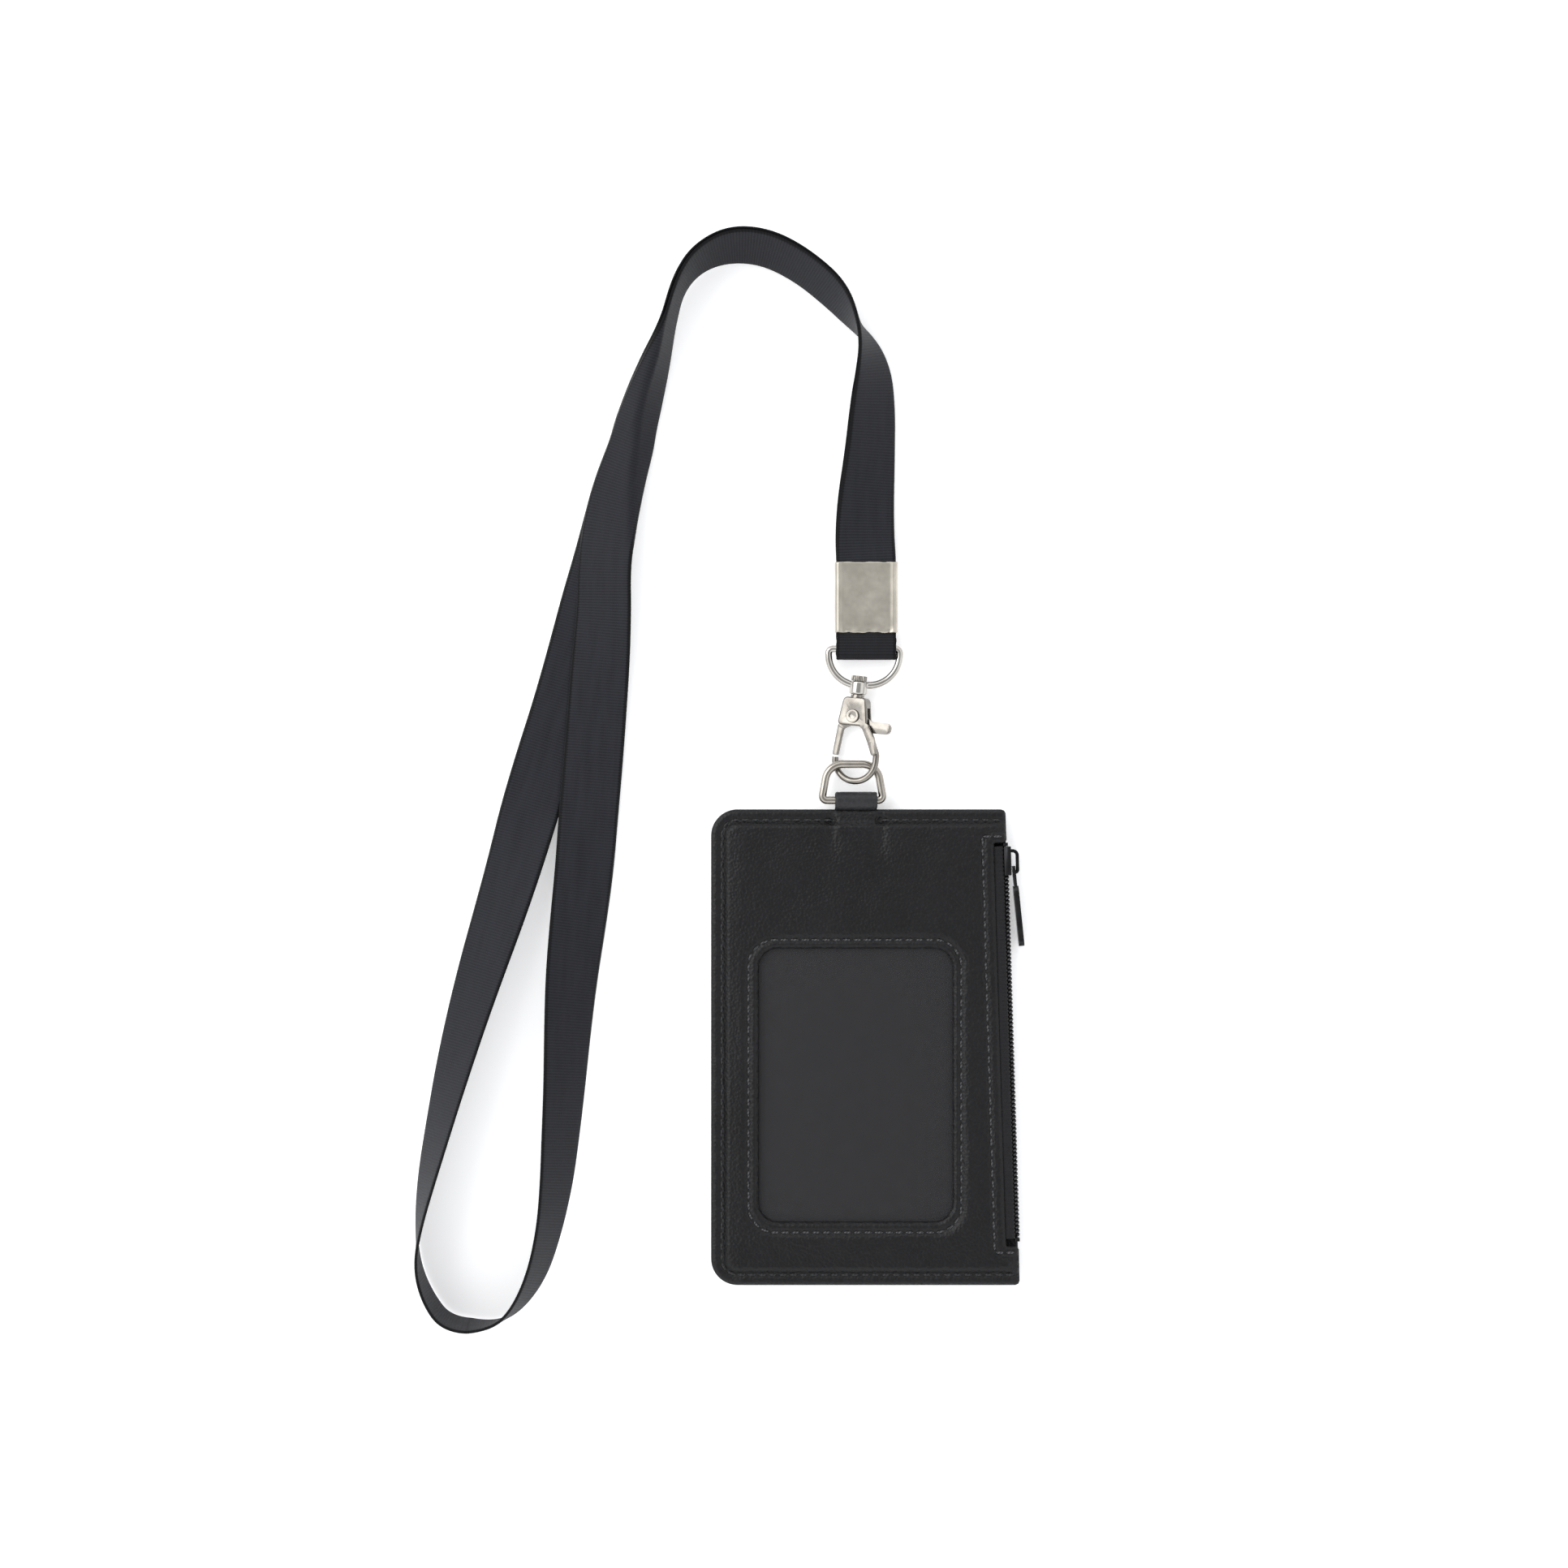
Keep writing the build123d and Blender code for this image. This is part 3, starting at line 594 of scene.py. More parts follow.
def rolled_less(rows):
    """The shared rows, with the lower strand's own roll where it parts from the other."""
    less = [PARTED.get(i, (0, 0))[1] for i in range(len(rows))]
    return [(*row[:2], row[2] + by, row[3] + by, *row[4:]) for row, by in zip(rows, less)]


def ribbon_mesh(name, line, turns, material):
    """A woven ribbon whose middle follows a line, rolled and folded as turns say."""
    ahead = directions(line)
    side = flat_side(ahead)
    over = np.cross(side, ahead)
    along = np.concatenate([[0], np.cumsum(np.linalg.norm(np.diff(line, axis=0), axis=1))])
    points, coordinates = [], []
    for place, across, up, (turn, turn_after, ridge), length in zip(line, side, over, turns, along):
        spread, places, roll = section(turn, turn_after, ridge * MM)
        inward = RIBBON_WIDTH / 2 - np.abs(spread)
        half = RIBBON / 2 * np.sqrt(np.clip(inward / (0.25 * MM), 0, 1))
        half = half - EDGE_BEAD * bump(inward, 0.9, 0.35)
        outward = np.stack([-np.sin(roll), np.cos(roll)], 1) * half[:, None]
        ring = np.concatenate([places + outward, (places - outward)[-2:0:-1]])
        ring[:, 1] += max(0.0, 0.03 * MM - (place[2] + ring[:, 1].min()))
        points.append(place + ring[:, :1] * across + ring[:, 1:] * up)
        flat = np.concatenate([spread, spread[-2:0:-1]])
        coordinates.append(np.stack([flat, np.full(len(flat), length)], 1))
    faces = rings_to_faces(len(line), len(points[0]))
    points, coordinates = np.concatenate(points), np.concatenate(coordinates)
    return add_mesh(name, points, faces, material, "strap", coordinates)


def make_strand(name, nodes, points, rows):
    line = follow(points)
    turns = follow([row[2:5] for row in rows])
    strand = ribbon_mesh(name, line, turns, ribbon_weave)
    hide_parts(*nodes)


def make_strap():
    """Both strands of the strap. They meet end to end at the bottom of the loop."""
    shared = control_points(SHARED)
    shared[0][2] = EXIT_Z
    upper = np.concatenate([shared, control_points(UPPER)])
    lower = np.concatenate([laid_beyond(shared, SHARED), control_points(LOWER)])
    # No corner shows where they meet: the points on either side are in line with the end.
    round_off = (upper[-1] - (upper[-2] + lower[-2]) / 2) / 2
    upper[-2] += round_off
    lower[-2] += round_off
    upper[-1] = lower[-1] = (upper[-2] + lower[-2]) / 2
    make_strand("strap_upper_strand", ["strand_upper"], upper, SHARED + UPPER)
    lower_rows = rolled_less(SHARED) + LOWER
    make_strand("strap_lower_strand", ["strand_lower", "strand_bend"], lower, lower_rows)


make_strap()

# ---------------------------------------------------------------- wallet, drawn in millimetres

LEFT, TOP, BOTTOM = -37.2, 57.3, -57.2
CORNER = 6.2
LEAN = 0.03  # the zipped side leans out by this much for each millimetre down
LEAN_ANGLE = math.atan(LEAN)
RIGHT_AT_MIDDLE = 35.3
CHAIN_AT_MIDDLE = 34.55
CHAIN_Z = 3.1
NOTCH_LOW, NOTCH_HIGH = -48.0, 49.5
LEATHER_GAP = 2.4
WINDOW = (-26.0, -42.1, 21.1, 24.1)
WINDOW_CORNER = 4.8
WINDOW_STITCH = (-28.3, -44.5, 23.0, 26.0)
WINDOW_STITCH_CORNER = 6.4
BORDER_STITCH = 2.45
ZIP_STITCH = 2.6
BORDER_TOP = 4.45
RIM_TOP = 5.80
FOAM_COVER = 5.42  # the leather stays this high over the foam
FOAM_RIGHT = 28.4
ZIP_SIDE_TOP = 5.95
FRONT_UNDER = 3.6
OVER_TAPE = 5.32  # the front cover's underside over the zip's tape
OVER_FILM = 4.86  # and over the window's film
FILM_TOP = 4.78
TAB = (-7.4, 2.8)
SKIN = 0.8


def box_inside(x, y, low_x, low_y, high_x, high_y, corner):
    """Distance in from the edge of a rounded box; negative outside it."""
    over_x = np.abs(x - (low_x + high_x) / 2) - (high_x - low_x) / 2 + corner
    over_y = np.abs(y - (low_y + high_y) / 2) - (high_y - low_y) / 2 + corner
    outside = np.hypot(np.maximum(over_x, 0), np.maximum(over_y, 0))
    return corner - outside - np.minimum(np.maximum(over_x, over_y), 0)


def from_left(x, y):
    return box_inside(x, y, LEFT, BOTTOM, 400.0, TOP, CORNER)


def from_right(x, y):
    return (RIGHT_AT_MIDDLE - LEAN * y - x) * math.cos(LEAN_ANGLE)


def from_notch(x, y):
    """Distance from the cut-out that the zip lies in; negative within it."""
    past = (x - (CHAIN_AT_MIDDLE - LEATHER_GAP - LEAN * y)) * math.cos(LEAN_ANGLE)
    return -box_inside(past, y, 0.0, NOTCH_LOW, 60.0, NOTCH_HIGH, 0.6)


def from_window(x, y):
    return -box_inside(x, y, *WINDOW, WINDOW_CORNER)


def from_window_stitch(x, y):
    return -box_inside(x, y, *WINDOW_STITCH, WINDOW_STITCH_CORNER)


def waviness(x, y, length, seed=0.0):
    """Gentle unevenness from -1 to 1 that repeats about every length millimetres."""
    return np.array([noise.noise(Vector((a / length, b / length, seed))) for a, b in zip(x, y)])


def rise(d, start, end):
    return smooth((d - start) / (end - start))


def ridge(d, width):
    return np.exp(-((d / width) ** 2))


def front_height(x, y):
    """Height of the front cover's leather."""
    edge, right, notch = from_left(x, y), from_right(x, y), from_notch(x, y)
    window, stitch = from_window(x, y), from_window_stitch(x, y)
    under_tab = smooth((4.2 - np.abs(x - sum(TAB) / 2 + 0.1)) / 1.2 + 1.0) * rise(y, 50, 53)
    puff = np.minimum(rise(edge, 2.5, 4.3), rise(right, 0.5, 3.0))
    height = BORDER_TOP + 1.15 * puff + 0.25 * rise(x - LEFT, 3.4, 7.4) + 0.3 * rise(edge, 4.0, 14.0)
    height += (0.30 * waviness(x, y, 21.0) + 0.12 * waviness(x, y, 7.0, 4.0)) * rise(edge, 3.0, 9.0)
    height -= 0.34 * ridge(edge - BORDER_STITCH, 0.5) * (1 - under_tab)
    height += 0.35 * under_tab * ridge(edge - 2.6, 2.2)
    for start, drift in ((TAB[0] - 1.4, 0.04), (TAB[1] + 0.9, -0.04)):
        along = TOP - y
        crease = ridge(x - start - drift * along, 0.9 + 0.10 * along) * rise(along, 0.0, 2.5)
        height -= 0.55 * crease * (1 - rise(along, 4.0, 15.0))
    zip_side = np.maximum(ZIP_SIDE_TOP, height - 0.1)
    height += (zip_side - height) * (1 - rise(notch, 0.0, 6.0))
    height -= 0.32 * ridge(notch - ZIP_STITCH, 0.5)
    rim = RIM_TOP + 0.05 * waviness(x, y, 9.0, 8.0)
    height = rim + (height - rim) * rise(stitch, -0.2, 2.0)
    height -= 0.42 * ridge(stitch, 0.5)
    height += 0.10 * ridge(window - 0.9, 0.7)
    over_foam = (edge > 3.85) & (x < FOAM_RIGHT) & (right > 3.0)
    height = np.where(over_foam, np.maximum(height, FOAM_COVER), height)
    height -= 0.55 * (1 - rise(edge, -0.1, 0.7)) + 0.5 * (1 - rise(right, -0.1, 0.7))
    return height - 0.4 * (1 - rise(notch, -0.1, 0.7)) - 0.45 * (1 - rise(window, -0.1, 0.7))


def front_under(x, y, height):
    """Height of the front cover's rough side, over the backing, the zip's tape and the window."""
    under = np.maximum(FRONT_UNDER, height - SKIN)
    near_zip = from_notch(x, y) < 6.0
    over_tape = near_zip & (y > NOTCH_LOW) & (y < NOTCH_HIGH)
    under = np.where(over_tape, np.maximum(under, OVER_TAPE), under)
    return np.where(from_window(x, y) < 5.2, np.maximum(under, OVER_FILM), under)


def rounded_outline(corners, spacing):
    """Points round a polygon whose corners are (x, y, radius), turning to the left."""
    points = []
    count = len(corners)
    for i, (x, y, radius) in enumerate(corners):
        here = np.array((x, y))
        back = np.array(corners[i - 1][:2]) - here
        ahead = np.array(corners[(i + 1) % count][:2]) - here
        back, ahead = back / np.linalg.norm(back), ahead / np.linalg.norm(ahead)
        turn = abs(back[0] * ahead[1] - back[1] * ahead[0])
        cut = radius * abs(1 + back @ ahead) / max(1e-6, turn)
        centre = here + (back + ahead) / np.linalg.norm(back + ahead) * math.hypot(radius, cut)
        start, end = here + back * cut - centre, here + ahead * cut - centre
        sweep = math.acos(np.clip(start @ end / radius**2, -1, 1))
        steps = max(2, int(radius * sweep / spacing))
        for t in np.linspace(0, 1, steps + 1):
            blend = math.sin((1 - t) * sweep) * start + math.sin(t * sweep) * end
            points.append(centre + blend / math.sin(sweep))
    outline = []
    for i, point in enumerate(points):
        after = points[(i + 1) % len(points)]
        steps = max(1, int(np.linalg.norm(after - point) / spacing))
        outline += [point + (after - point) * k / steps for k in range(steps)]
    return np.array(outline)


def wallet_right(y):
    return RIGHT_AT_MIDDLE - LEAN * y


def notch_edge(y):
    return CHAIN_AT_MIDDLE - LEATHER_GAP - LEAN * y


def front_outline():
    return rounded_outline(
        [
            (wallet_right(TOP), TOP, 0.9),
            (LEFT, TOP, CORNER),
            (LEFT, BOTTOM, CORNER),
            (wallet_right(BOTTOM), BOTTOM, 0.9),
            (wallet_right(NOTCH_LOW), NOTCH_LOW, 0.7),
            (notch_edge(NOTCH_LOW), NOTCH_LOW, 0.6),
            (notch_edge(NOTCH_HIGH), NOTCH_HIGH, 0.6),
            (wallet_right(NOTCH_HIGH), NOTCH_HIGH, 0.7),
        ],
        0.55,
    )


def box_outline(low_x, low_y, high_x, high_y, corner, spacing=0.55):
    corners = [(high_x, high_y), (low_x, high_y), (low_x, low_y), (high_x, low_y)]
    return rounded_outline([(x, y, corner) for x, y in corners], spacing)


def filled(outlines, inside, fine):
    """Triangles that fill outlines. inside says where points go, and fine where they are dense."""
    edges, points = [], []
    for outline in outlines:
        first = len(points)
        points += [tuple(p) for p in outline]
        edges += [(first + i, first + (i + 1) % len(outline)) for i in range(len(outline))]
    random = np.random.default_rng(3)
    for spacing, dense in ((0.42, True), (1.25, False)):
        x, y = np.meshgrid(np.arange(LEFT, 38.0, spacing), np.arange(BOTTOM, TOP, spacing))
        x = x.ravel() + random.uniform(-0.12, 0.12, x.size) * spacing
        y = y.ravel() + random.uniform(-0.12, 0.12, y.size) * spacing
        kept = (inside(x, y) > 0.25) & (fine(x, y) == dense)
        points += list(zip(x[kept], y[kept]))
    found, _, faces, *_ = geometry.delaunay_2d_cdt([Vector(p) for p in points], edges, [], 0, 1e-5)
    plan = np.array([tuple(p) for p in found])
    faces = np.array([f for f in faces if len(f) == 3])
    middle = plan[faces].mean(axis=1)
    return plan, faces[inside(middle[:, 0], middle[:, 1]) > 0]


def rim_edges(faces):
    """Edges with a face on one side only, each run the way of its face."""
    edges = {(a, b) for f in faces for a, b in zip(f, np.roll(f, -1))}
    return [(a, b) for a, b in edges if (b, a) not in edges]


def slab(name, plan, faces, top, under, material, bulge=0.14, sink=0.3):
    """A skin with a top and an underside, and a rounded wall round its rims."""
    rim = rim_edges(faces.tolist())
    outward = np.zeros_like(plan)
    for a, b in rim:
        run = plan[b] - plan[a]
        push = np.array((run[1], -run[0])) / max(1e-9, np.linalg.norm(run))
        outward[a] += push
        outward[b] += push
    on_rim = np.unique(np.array(rim))
    outward[on_rim] /= np.linalg.norm(outward[on_rim], axis=1)[:, None]
    number = {v: 2 * len(plan) + i for i, v in enumerate(on_rim)}
    gap = top[on_rim] - under[on_rim]
    middle_height = under[on_rim] + gap * (1 - sink)
    middle = np.column_stack([plan[on_rim] + bulge * outward[on_rim], middle_height])
    points = np.concatenate([np.column_stack([plan, top]), np.column_stack([plan, under]), middle])
    shell = [tuple(f) for f in faces] + [tuple(f[::-1] + len(plan)) for f in faces]
    for a, b in rim:
        shell.append((b, a, number[a], number[b]))
        shell.append((number[b], number[a], a + len(plan), b + len(plan)))
    return add_mesh(name, points * MM, shell, material, "wallet")


def make_front_cover():
    def inside(x, y):
        edge = np.minimum(np.minimum(from_left(x, y), from_right(x, y)), from_notch(x, y))
        return np.minimum(edge, from_window(x, y))

    def fine(x, y):
        close = (from_left(x, y) < 7.2) | (from_notch(x, y) < 4.2) | (from_right(x, y) < 2.0)
        creased = (y > 44) & (x > TAB[0] - 6) & (x < TAB[1] + 6)
        return close | (from_window_stitch(x, y) < 3.0) | creased

    plan, faces = filled([front_outline(), box_outline(*WINDOW, WINDOW_CORNER)[::-1]], inside, fine)
    top = front_height(plan[:, 0], plan[:, 1])
    under = front_under(plan[:, 0], plan[:, 1], top)
    cover = slab("front_cover", plan, faces, top, np.minimum(under, top - 0.3), leather)
    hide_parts("front_panel")


def make_back_cover():
    thickness = 0.9
    groove = 0.22

    def inside(x, y):
        return np.minimum(from_left(x, y), from_right(x, y))

    def fine(x, y):
        return inside(x, y) < 4.0

    corners = [
        (wallet_right(TOP), TOP, 0.9),
        (LEFT, TOP, CORNER),
        (LEFT, BOTTOM, CORNER),
        (wallet_right(BOTTOM), BOTTOM, 0.9),
    ]
    plan, faces = filled([rounded_outline(corners, 0.55)], inside, fine)
    x, y = plan.T
    edge = inside(x, y)
    under = 0.10 * (1 + waviness(x, y, 24.0, 2.0)) * rise(edge, 3.0, 12.0)
    under += groove * ridge(edge - BORDER_STITCH, 0.5) + 0.4 * (1 - rise(edge, -0.1, 0.8))
    under = np.maximum(0.0, under)
    top = np.full(len(plan), thickness)
    cover = slab("back_cover", plan, faces, top, under, back_leather, sink=0.6)
    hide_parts("back_panel")


def make_window_film():
    low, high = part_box("window_sheet")
    edges = np.array([low[0], low[1], high[0], high[1]]) / MM

    def inside(x, y):
        return box_inside(x, y, *edges, 3.0)

    def fine(x, y):
        return np.abs(from_window(x, y)) < 0.6

    plan, faces = filled([box_outline(*edges, 3.0, spacing=1.2)], inside, fine)
    x, y = plan.T
    free = rise(-from_window(x, y), -0.5, 6.0)
    top = FILM_TOP + free * (0.16 * waviness(x, y, 17.0, 6.0) + 0.05 * waviness(x, y, 6.0, 9.0) - 0.14)
    top -= 0.08 * ridge(from_window(x, y) + 0.1, 0.4)
    film = slab("window_film", plan, faces, top, top - 0.28, clear_vinyl, bulge=0.02)
    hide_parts("window_sheet")


# ---------------------------------------------------------------- stitches

STITCH_RADIUS = 0.24
STITCH_PITCH = 2.5
STITCH_LENGTH = 2.0


def stitches(name, runs, height, above=True, material=dark_thread):
    """Thread showing along runs of plan points, in millimetres; each stitch dips in at its ends."""
    random = np.random.default_rng(7)
    points, faces = [], []
    for run in runs:
        run = np.array(run, float)
        along = np.concatenate([[0], np.cumsum(np.linalg.norm(np.diff(run, axis=0), axis=1))])
        count = max(1, int(round(along[-1] / STITCH_PITCH)))
        pitch = along[-1] / count
        for i in range(count):
            length = STITCH_LENGTH / STITCH_PITCH * pitch * random.uniform(0.94, 1.04)
            start = i * pitch + (pitch - length) / 2
            reach = np.linspace(0, 1, 7)
            places = start + reach * length
            x, y = np.interp(places, along, run[:, 0]), np.interp(places, along, run[:, 1])
            x = x + random.uniform(-0.06, 0.06) + (reach - 0.5) * random.uniform(-0.16, 0.16)
            level = np.full(7, np.max(height(x, y)) if above else np.min(height(x, y)))
            sign = 1 if above else -1
            z = level + sign * (0.10 * np.sin(math.pi * reach) - 0.22 * (2 * reach - 1) ** 6 + 0.06)
            radius = STITCH_RADIUS * np.sqrt(1 - 0.96 * np.abs(2 * reach - 1) ** 3)
            tube = tube_points(np.column_stack([x, y, z]), radius, sides=6)
            first = sum(len(p) for p in points)
            points.append(tube)
            faces += [tuple(first + v for v in f) for f in rings_to_faces(7, 6)]
    return add_mesh(name, np.concatenate(points) * MM, faces, material, "wallet")


def inset_outline(distance, corner):
    """The wallet's top, left and bottom edges, moved in, from the top right to the bottom right."""
    x, top, bottom = LEFT + distance, TOP - distance, BOTTOM + distance
    path = [(wallet_right(top) - 1.2, top)]
    for middle_y, start in ((top - corner, 90), (bottom + corner, 180)):
        for angle in np.radians(np.linspace(start, start + 90, 12)):
            path.append((x + corner * (1 + math.cos(angle)), middle_y + corner * math.sin(angle)))
    path.append((wallet_right(bottom) - 1.0, bottom))
    return path


def make_stitching():
    border = inset_outline(BORDER_STITCH, CORNER - BORDER_STITCH)
    tab_gap = (TAB[0] - 0.5, TAB[1] + 0.8)
    right_part = [border[0], (tab_gap[1], border[0][1])]
    left_part = [(tab_gap[0], border[0][1])] + border[1:]
    pieces = [stitches("border_stitches", [right_part, left_part], front_height)]
    zip_x = notch_edge(0.0) - ZIP_STITCH
    side = [(zip_x - LEAN * y, y) for y in (50.9, -49.0)]
    ends = [[(zip_x - LEAN * y, y), (wallet_right(y) - 0.9, y)] for y in (50.9, -49.3)]
    pieces.append(stitches("zip_stitches", [side, *ends], front_height, material=highlit_thread))
    window = box_outline(*WINDOW_STITCH, WINDOW_STITCH_CORNER, spacing=0.8)
    closed = np.vstack([window, window[:1]])
    pieces.append(stitches("window_stitches", [closed], front_height, material=highlit_thread))

    def back(x, y):
        return np.full(len(x), 0.34)

    rear_side = [(wallet_right(y) - BORDER_STITCH, y) for y in (54.2, -54.2)]
    pieces.append(stitches("back_stitches", [border, rear_side], back, above=False))


# ---------------------------------------------------------------- zip

ROW_NEAR, ROW_FAR = 0.42, 1.62  # the coil's teeth, from the chain's middle
TOOTH_PITCH = 0.98
TOOTH_WIRE = 0.27
COIL_OUT = 0.62  # the coil's middle, out from the tape
COIL_HALF = 0.40


def beside_chain(y, out, over):
    """Points beside the zip's chain, in millimetres: out from it, and over its middle."""
    across = np.array((math.cos(LEAN_ANGLE), math.sin(LEAN_ANGLE)))
    y = np.asarray(y, float)
    x = CHAIN_AT_MIDDLE - LEAN * y + out * across[0]
    return np.column_stack([x, y + out * across[1], CHAIN_Z + np.broadcast_to(over, y.shape)])


def make_coil(name, side, node):
    """A nylon coil: loops that reach in to the chain's middle and lock with the other coil's."""
    low, high = -45.6, 48.2
    turns = int((high - low) / TOOTH_PITCH)
    angle = np.linspace(0, 2 * math.pi * turns, turns * 16 + 1)
    y = low + angle / (2 * math.pi) * TOOTH_PITCH + (0.25 * TOOTH_PITCH if side > 0 else 0.0)
    middle, reach = (ROW_FAR - 0.25) / 2 + 0.02, (ROW_FAR + 0.25) / 2 - TOOTH_WIRE / 2
    over = side * (middle + reach * np.cos(angle))
    out = COIL_OUT + COIL_HALF * np.sign(np.sin(angle)) * np.abs(np.sin(angle)) ** 0.6
    line = beside_chain(y, 0.0, 0.0)
    line[:, 0] += out
    line[:, 2] += over
    ahead = directions(line)
    across = np.cross(ahead, (0.0, 1.0, 0.0))
    across /= np.linalg.norm(across, axis=1)[:, None]
    points = tube_points(line, TOOTH_WIRE, sides=7, up=(0.0, 1.0, 0.0))
    coil = add_mesh(name, points * MM, rings_to_faces(len(line), 7), coil_nylon, "wallet")
    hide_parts(node)


def make_tape(name, side, node):
    """Woven tape: flat under the leather, turned down to the coil, with a corded bead beside it."""
    path = [(-7.0, 2.05), (-3.0, 2.05), (-1.2, 2.05), (-0.35, 2.03)]
    path += [(-0.15, 1.85), (-0.15, 1.2), (-0.15, 0.42)]
    section_line = follow([(a, b, 0.0) for a, b in path], 6)[:, :2]
    ahead = directions(section_line)
    normal = np.column_stack([-ahead[:, 1], ahead[:, 0]])
    bead = 0.10 * ridge(section_line[:, 1] - 1.0, 0.25) + 0.06 * ridge(section_line[:, 0] + 1.6, 0.3)
    half = (0.14 + bead)[:, None]
    ring = np.concatenate([section_line + normal * half, (section_line - normal * half)[::-1]])
    y = np.arange(-46.0, 48.6, TOOTH_PITCH / 4)
    corded = (0.02 + 0.11 * rise(section_line[:, 0], -1.7, -1.2))[:, None]
    rows = []
    for place in y:
        rib = math.cos(place / TOOTH_PITCH * 2 * math.pi)
        shape = ring.copy()
        shape[: len(section_line)] += normal * rib * corded
        rows.append(beside_chain(np.full(len(shape), place), shape[:, 0], side * shape[:, 1]))
    faces = rings_to_faces(len(rows), len(ring))
    if side > 0:
        faces = [f[::-1] for f in faces]
    tape = add_mesh(name, np.concatenate(rows) * MM, faces, tape_weave, "wallet")
    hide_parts(node)


# ---------------------------------------------------------------- tab, crimp and strap end

STRAP_X = 0.1
CRIMP_LOW, CRIMP_HIGH = 100.1, 117.2
CRIMP_LEVEL = 3.0


def band(name, path, low_x, high_x, thickness, material, body, count=21):
    """A strip of cloth or leather that follows a line of (y, z), in millimetres."""
    line = follow([(0.0, y, z) for y, z in path], 8)
    ahead = directions(line)
    normal = np.cross(ahead, (1.0, 0.0, 0.0))
    along = np.concatenate([[0], np.cumsum(np.linalg.norm(np.diff(line, axis=0), axis=1))])
    middle_x, half_width = (low_x + high_x) / 2, (high_x - low_x) / 2
    spread = middle_x + half_width * np.sin(np.linspace(-1, 1, count) * math.pi / 2)
    inward = half_width - np.abs(spread - middle_x)
    half = thickness / 2 * np.sqrt(np.clip(inward / (0.35 * thickness), 0.0, 1))
    half = half - 0.05 * ridge(inward - 0.95, 0.3)
    points, coordinates = [], []
    for place, out, length in zip(line, normal, along):
        wobble = 0.05 * math.sin(length * 1.3) + 0.04 * math.sin(length * 3.1)
        flat = np.zeros((count, 3))
        flat[:, 0] = spread + wobble
        points.append(np.concatenate([place + flat + out * half[:, None],
                                      (place + flat - out * half[:, None])[-2:0:-1]]))
        across = np.concatenate([spread, spread[-2:0:-1]]) - middle_x
        coordinates.append(np.column_stack([across, np.full(len(across), length)]))
    faces = rings_to_faces(len(line), len(points[0]))
    points, coordinates = np.concatenate(points) * MM, np.concatenate(coordinates) * MM
    return add_mesh(name, points, faces, material, body, coordinates)


def make_tab():
    bar_y, bar_z, reach = 59.65, 3.45, 1.58
    turn = np.radians(np.arange(0, 181, 20))
    nose = [(bar_y + reach * math.sin(a), bar_z + reach * math.cos(a)) for a in turn]
    path = [(54.4, 2.64), (56.4, 2.64), (57.2, 3.0), (58.1, 4.6), *nose]
    path += [(58.2, 2.0), (57.2, 1.56), (54.4, 1.54)]
    tab = band("ring_tab_strip", path, *TAB, 1.0, tab_leather, "wallet")
    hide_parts("ring_tab")


def make_loop():
    """The strap's doubled end, round the swivel's ring and up into the crimp."""
    nose_y, reach = 95.2, 1.33
    turn = np.radians(np.arange(0, -181, -20))
    nose = [(nose_y + reach * math.sin(a), CRIMP_LEVEL + reach * math.cos(a)) for a in turn]
    path = [(108.8, 3.42), (101.5, 3.42), (99.4, 3.48), (97.6, 4.22), *nose]
    path += [(97.6, 1.78), (99.4, 2.52), (101.5, 2.58), (108.8, 2.58)]
    low_x, high_x = STRAP_X - LOOP_WIDTH / MM / 2, STRAP_X + LOOP_WIDTH / MM / 2
    loop = band("strap_end_loop", path, low_x, high_x, RIBBON / MM, loop_weave, "strap", count=29)
    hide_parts("ribbon_loop")


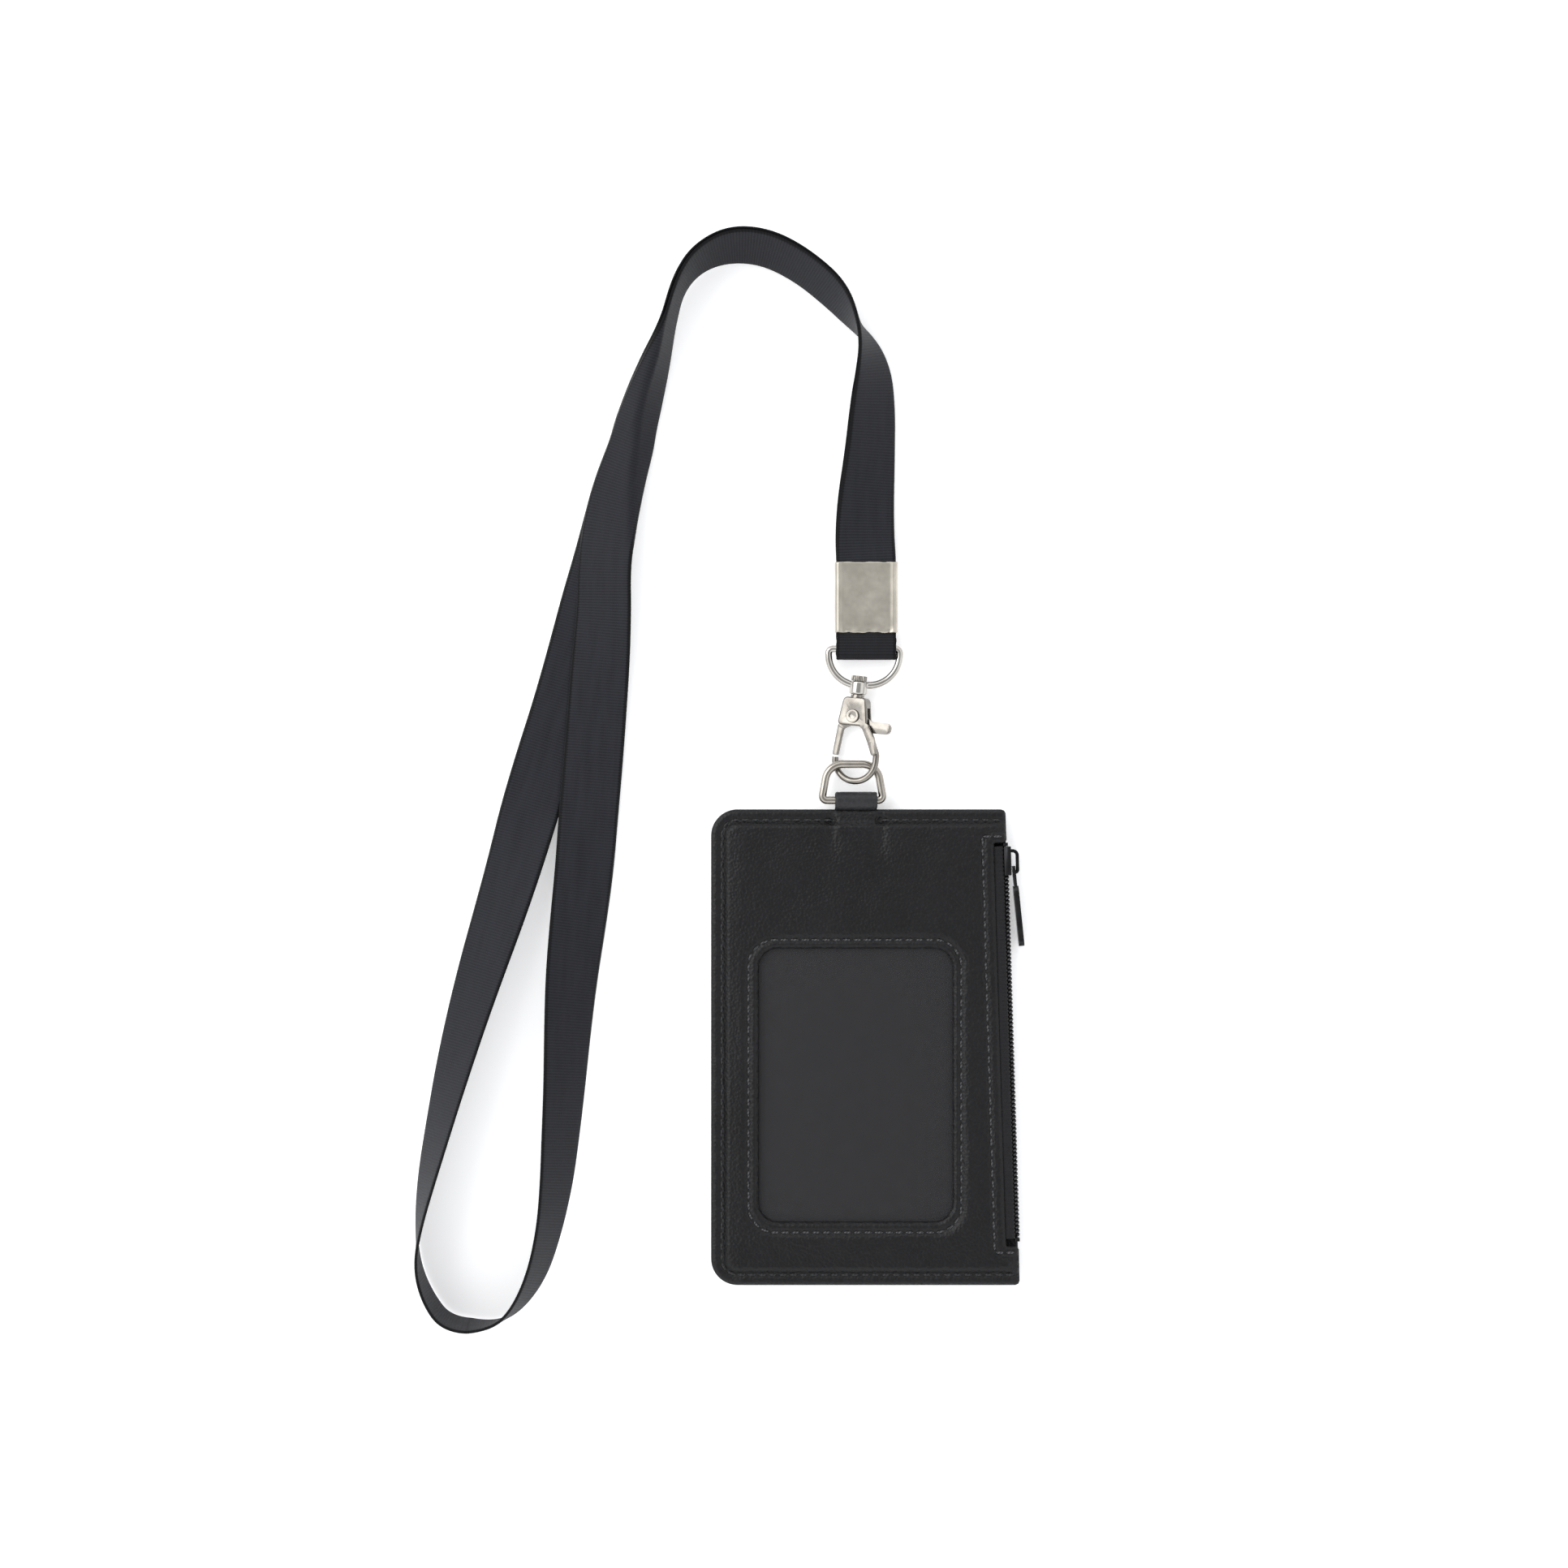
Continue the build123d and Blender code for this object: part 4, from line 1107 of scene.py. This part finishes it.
def make_crimp():
    """A pressed metal sleeve: rolled side edges, rounded rims and a few dents."""
    half, low, high = 7.6, 1.6, 4.4
    wall, corner = 0.58, 1.15
    outline = box_outline(-half, low, half, high, corner, spacing=0.28)
    inner = box_outline(-half + wall, low + wall, half - wall, high - wall, 0.55, spacing=0.28)
    stops = np.linspace(0, 2 * math.pi, 160, endpoint=False)

    def even(line):
        """The same number of points at even angles round the sleeve's section."""
        angle = np.arctan2((line[:, 1] - CRIMP_LEVEL) / 1.4, line[:, 0] / half)
        order = np.argsort(angle)
        want = (stops + math.pi) % (2 * math.pi) - math.pi
        x, z = (np.interp(want, angle[order], part, period=2 * math.pi) for part in line[order].T)
        return np.column_stack([x, z])

    outer_ring, inner_ring = even(outline), even(inner)

    def outer_at(y, pull):
        """The outer section at a length, dented, and pulled in towards the inner one."""
        x, z = outer_ring[:, 0], outer_ring[:, 1]
        face = rise(half - np.abs(x), 0.9, 1.6)
        dent = 0.14 * face + 0.05 * face * waviness(x, np.full(len(x), y), 4.5, 1.0)
        low_lip = ridge(y - CRIMP_LOW - 0.6, 0.8) * (0.4 + 0.6 * np.sin(x * 1.3 + 0.6))
        dent = dent + 0.22 * face * low_lip
        dent = dent - 0.10 * ridge(half - np.abs(x) - 0.95, 0.35)
        ring = np.column_stack([x, z - np.sign(z - CRIMP_LEVEL) * dent])
        return ring + (inner_ring - ring) * pull

    edge_wobble = 0.10 * np.sin(outer_ring[:, 0] * 0.9) + 0.06 * np.sin(outer_ring[:, 0] * 2.3)
    # Each row is a place along the sleeve, how far it is pulled in, and how uneven it is.
    low_rim = ((0.30, 0.85), (0.05, 0.55), (0.02, 0.3), (0.10, 0.06))
    high_rim = ((0.08, 0.06), (0.0, 0.3), (0.0, 0.55), (0.25, 0.85))
    rows = [(CRIMP_LOW + up, pull, 1.0) for up, pull in low_rim]
    rows += [(y, 0.0, 0.0) for y in np.linspace(CRIMP_LOW + 0.25, CRIMP_HIGH - 0.25, 46)]
    rows += [(CRIMP_HIGH - down, pull, 0.5) for down, pull in high_rim]
    rings = []
    for y, pull, wobble in rows:
        ring = outer_at(y, pull)
        rings.append(np.column_stack([ring[:, 0] + STRAP_X, y + wobble * edge_wobble, ring[:, 1]]))
    for y in (CRIMP_HIGH - 0.6, (CRIMP_LOW + CRIMP_HIGH) / 2, CRIMP_LOW + 0.6):
        places = np.full(len(inner_ring), y)
        rings.append(np.column_stack([inner_ring[:, 0] + STRAP_X, places, inner_ring[:, 1]]))
    faces = rings_to_faces(len(rings), len(stops), closed=True)
    crimp = add_mesh("crimp_sleeve", np.concatenate(rings) * MM, faces, crimp_nickel, "strap")
    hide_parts("crimp")


# ---------------------------------------------------------------- carried-over parts

FINISHES = {
    "back_board": (board_fibre, 0.0),
    "pocket_lining": (lining_fabric, 0.0),
    "edge_strip": (edge_paint, 0.12),
    "card_backing": (backing_film, 0.05),
    "front_foam": (foam_cells, 0.0),
    "zip_top_stop": (dark_metal, 0.12),
    "zip_bottom_stop": (dark_metal, 0.12),
    "zip_slider": (slider_metal, 0.16),
    "pull_tab": (slider_metal, 0.20),
    "holder_ring": (satin_nickel, 0.0),
    "clasp_body": (clasp_nickel, 0.16),
    "clasp_rivet": (clasp_nickel, 0.06),
    "gate_spring": (spring_steel, 0.0),
    "swivel_post": (clasp_nickel, 0.10),
    "gate_lever": (clasp_nickel, 0.18),
    "swivel_ring": (bright_nickel, 0.0),
}


def finish_parts():
    for name, (material, bevel) in FINISHES.items():
        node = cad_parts[name]
        node.data.materials.clear()
        node.data.materials.append(material)
        node.data.polygons.foreach_set("use_smooth", [True] * len(node.data.polygons))
        weld = node.modifiers.new("weld", "WELD")
        weld.merge_threshold = 0.002 * MM
        if bevel:
            rounding = node.modifiers.new("rounding", "BEVEL")
            rounding.width = bevel * MM
            rounding.segments = 2
            rounding.limit_method = "ANGLE"
            rounding.angle_limit = math.radians(32)
            rounding.harden_normals = True


make_front_cover()
make_back_cover()
make_window_film()
make_stitching()
make_coil("zip_teeth_front", 1, "zip_coil_front")
make_coil("zip_teeth_back", -1, "zip_coil_back")
make_tape("zip_cloth_front", 1, "zip_tape_front")
make_tape("zip_cloth_back", -1, "zip_tape_back")
make_tab()
make_loop()
make_crimp()
finish_parts()
